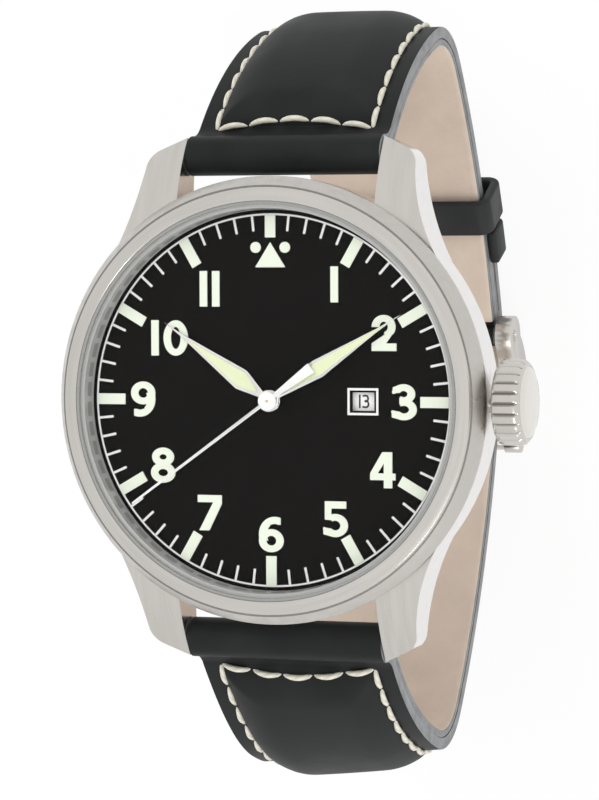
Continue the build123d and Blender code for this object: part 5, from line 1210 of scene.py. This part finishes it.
class WATCH_OT_strap(bpy.types.Operator):
    """Model the padded strap halves and their lining"""

    bl_idname = "watch.strap"
    bl_label = "Strap"

    def execute(self, context):
        settings = context.scene.watch_strap
        colours = context.scene.watch_finishes
        leather = cover_leather("cover_leather", tuple(colours.leather))
        # The keepers get the cover leather made twice as light: painted light.
        keeper_leather_painted_light = cover_leather("keeper_leather_painted_light", scaled(tuple(colours.leather), 2.0))
        edge = edge_leather("edge_leather", edge_colour)
        tan_leather = lining_leather("lining_leather", tuple(colours.lining))
        for half, short_name in ((short_half, "12"), (long_half, "6")):
            cover = make_cover(half, f"strap_{short_name}_cover", settings, leather, edge)
            bevel(cover, settings.edge_round, 3, 50)
            bake(cover, 50)
            punch_holes(cover, half.side < 0)
            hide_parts(f"strap_{short_name}_leather")
            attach(cover, "case")
            lining = make_lining(half, f"strap_{short_name}_inside", tan_leather, edge)
            bevel(lining, settings.edge_round, 2, 50)
            bake(lining, 50)
            punch_holes(lining, half.side < 0)
            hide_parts(f"strap_{short_name}_lining")
            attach(lining, "case")
        for node, body in (("keeper_free", "keeper_free"), ("keeper_fixed", "case")):
            keeper = softened(node, keeper_edge, keeper_leather_painted_light, 3, 50)
            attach(keeper, body)
        return {"FINISHED"}


class WATCH_OT_buckle(bpy.types.Operator):
    """Finish the pin buckle"""

    bl_idname = "watch.buckle"
    bl_label = "Buckle"

    def execute(self, context):
        steel = tuple(context.scene.watch_finishes.steel)
        brushed_finish = straight_steel("buckle_steel", steel, 0.36)
        for node, body, width in (("buckle_frame", "buckle", frame_edge),
                                  ("buckle_tongue", "buckle_tongue", tongue_edge)):
            piece = softened(node, width, brushed_finish, 2, 60)
            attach(piece, body)
        dress("buckle_bar", turned_steel("buckle_bar_steel", steel, 0.3))
        return {"FINISHED"}


class WATCH_OT_stitching(bpy.types.Operator):
    """Sew the strap"""

    bl_idname = "watch.stitching"
    bl_label = "Stitching"

    def execute(self, context):
        settings = context.scene.watch_strap
        thread = waxed_thread("pale_thread", tuple(context.scene.watch_finishes.thread))
        for half, short_name in ((short_half, "12"), (long_half, "6")):
            name = f"strap_{short_name}_stitches"
            spots = seam_spots(half, settings)
            row = stitch_row(name, spots, settings.stitch_length, settings.thread_width, thread)
            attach(row, "case")
        return {"FINISHED"}


class WATCH_OT_stage(bpy.types.Operator):
    """Set the floor, lights, surroundings and camera"""

    bl_idname = "watch.stage"
    bl_label = "Stage"

    def execute(self, context):
        settings = context.scene.watch_stage
        make_floor(settings)
        make_world(settings)
        make_lights(settings)
        make_camera()
        return {"FINISHED"}


def background_share(tree):
    """1 for the rays that see the background: from the camera, in gloss and through glass."""
    path = tree.nodes.new("ShaderNodeLightPath")
    seen = math_node(tree, "MAXIMUM", path.outputs["Is Camera Ray"], path.outputs["Is Glossy Ray"])
    return math_node(tree, "MAXIMUM", seen, path.outputs["Is Transmission Ray"])


def make_floor(settings):
    """The white paper under the watch, which glows for the rays that see the background."""
    low = cad_box[0][2] - settings.floor_drop
    vertices = [(x * floor_reach, y * floor_reach, low) for x, y in ((-1, -1), (1, -1), (1, 1), (-1, 1))]
    material, tree, shader = new_finish("floor_paper", (floor_tone, floor_tone, floor_tone), 0.9)
    glow = add_node(tree, "ShaderNodeEmission", {"Color": (1, 1, 1, 1)})
    share = math_node(tree, "MULTIPLY", background_share(tree), floor_glow)
    mix = add_node(tree, "ShaderNodeMixShader", {0: share, 1: shader.outputs[0], 2: glow.outputs[0]})
    tree.links.new(mix.outputs[0], tree.nodes["Material Output"].inputs["Surface"])
    floor = new_piece("floor", vertices, [(0, 1, 2, 3)], material)


def make_world(settings):
    """Pale surroundings, a little brighter on one side."""
    world = bpy.data.worlds.new("pale_surroundings")
    bpy.context.scene.world = world
    world.use_nodes = True
    tree = world.node_tree
    background = tree.nodes["Background"]
    background.inputs["Color"].default_value = (1, 1, 1, 1)
    direction = tree.nodes.new("ShaderNodeTexCoord").outputs["Generated"]
    aim = add_node(tree, "ShaderNodeVectorMath", {0: direction, 1: bright_side}, operation="DOT_PRODUCT")
    dim, bright = dim_share * settings.world_strength, bright_share * settings.world_strength
    strength = spread(tree, aim.outputs["Value"], dim, bright, dim_end, 1.0)
    tree.links.new(strength, background.inputs["Strength"])


def soft_light(name, place, size, power, glossy):
    """A large square light that faces the watch."""
    data = bpy.data.lights.new(name, "AREA")
    data.shape = "RECTANGLE"
    data.size, data.size_y = size
    data.energy = power
    light = bpy.data.objects.new(name, data)
    bpy.context.scene.collection.objects.link(light)
    light.location = place
    light.rotation_euler = (-Vector(place)).to_track_quat("-Z", "Y").to_euler()
    light.visible_glossy = glossy


def make_lights(settings):
    """A large soft light, and a tall strip that also shows in gloss."""
    soft_light("key_light", key_place, key_size, settings.key_power, False)
    soft_light("strip_light", strip_place, strip_size, settings.strip_power, True)


def make_camera():
    """The camera, which looks down its own back axis and is rolled a little."""
    data = bpy.data.cameras.new("camera")
    data.lens = camera_lens
    data.sensor_width = camera_sensor
    data.clip_start = 0.01
    camera = bpy.data.objects.new("camera", data)
    bpy.context.scene.collection.objects.link(camera)
    back = Vector((sin(camera_azimuth) * cos(camera_elevation), sin(camera_elevation),
                   cos(camera_azimuth) * cos(camera_elevation)))
    right = Vector((cos(camera_azimuth), 0, -sin(camera_azimuth)))
    up = back.cross(right)
    rolled_right = right * cos(camera_roll) + up * sin(camera_roll)
    rolled_up = up * cos(camera_roll) - right * sin(camera_roll)
    turn = Matrix((rolled_right, rolled_up, back)).transposed().to_4x4()
    camera.matrix_world = Matrix.Translation(camera_place) @ turn
    bpy.context.scene.camera = camera
    bpy.context.scene.view_settings.view_transform = "Standard"


class WATCH_PT_panel(bpy.types.Panel):
    """Lists the watch's pieces"""

    bl_idname = "WATCH_PT_panel"
    bl_label = "Pilot Watch"
    bl_space_type = "VIEW_3D"
    bl_region_type = "UI"
    bl_category = "Pilot Watch"

    def draw(self, context):
        for operator in operators:
            self.layout.operator(operator.bl_idname)
        for name in groups:
            group = getattr(context.scene, name)
            for key in group.__annotations__:
                self.layout.prop(group, key)


operators = (WATCH_OT_case, WATCH_OT_crown, WATCH_OT_dial, WATCH_OT_hands, WATCH_OT_movement, WATCH_OT_strap,
             WATCH_OT_stitching, WATCH_OT_buckle, WATCH_OT_stage)
groups = {"watch_finishes": WatchFinishes, "watch_strap": WatchStrap, "watch_stage": WatchStage}
classes = (*groups.values(), *operators, WATCH_PT_panel)


def register():
    """Add the tool to Blender."""
    for item in classes:
        bpy.utils.register_class(item)
    for name, group in groups.items():
        setattr(bpy.types.Scene, name, bpy.props.PointerProperty(type=group))


def unregister():
    """Take the tool out of Blender."""
    for name in groups:
        delattr(bpy.types.Scene, name)
    for item in reversed(classes):
        bpy.utils.unregister_class(item)


def main():
    """Build every piece and the stage."""
    register()
    bpy.ops.watch.case()
    bpy.ops.watch.crown()
    bpy.ops.watch.dial()
    bpy.ops.watch.hands()
    bpy.ops.watch.movement()
    bpy.ops.watch.strap()
    bpy.ops.watch.stitching()
    bpy.ops.watch.buckle()
    bpy.ops.watch.stage()


if __name__ == "__main__":
    main()
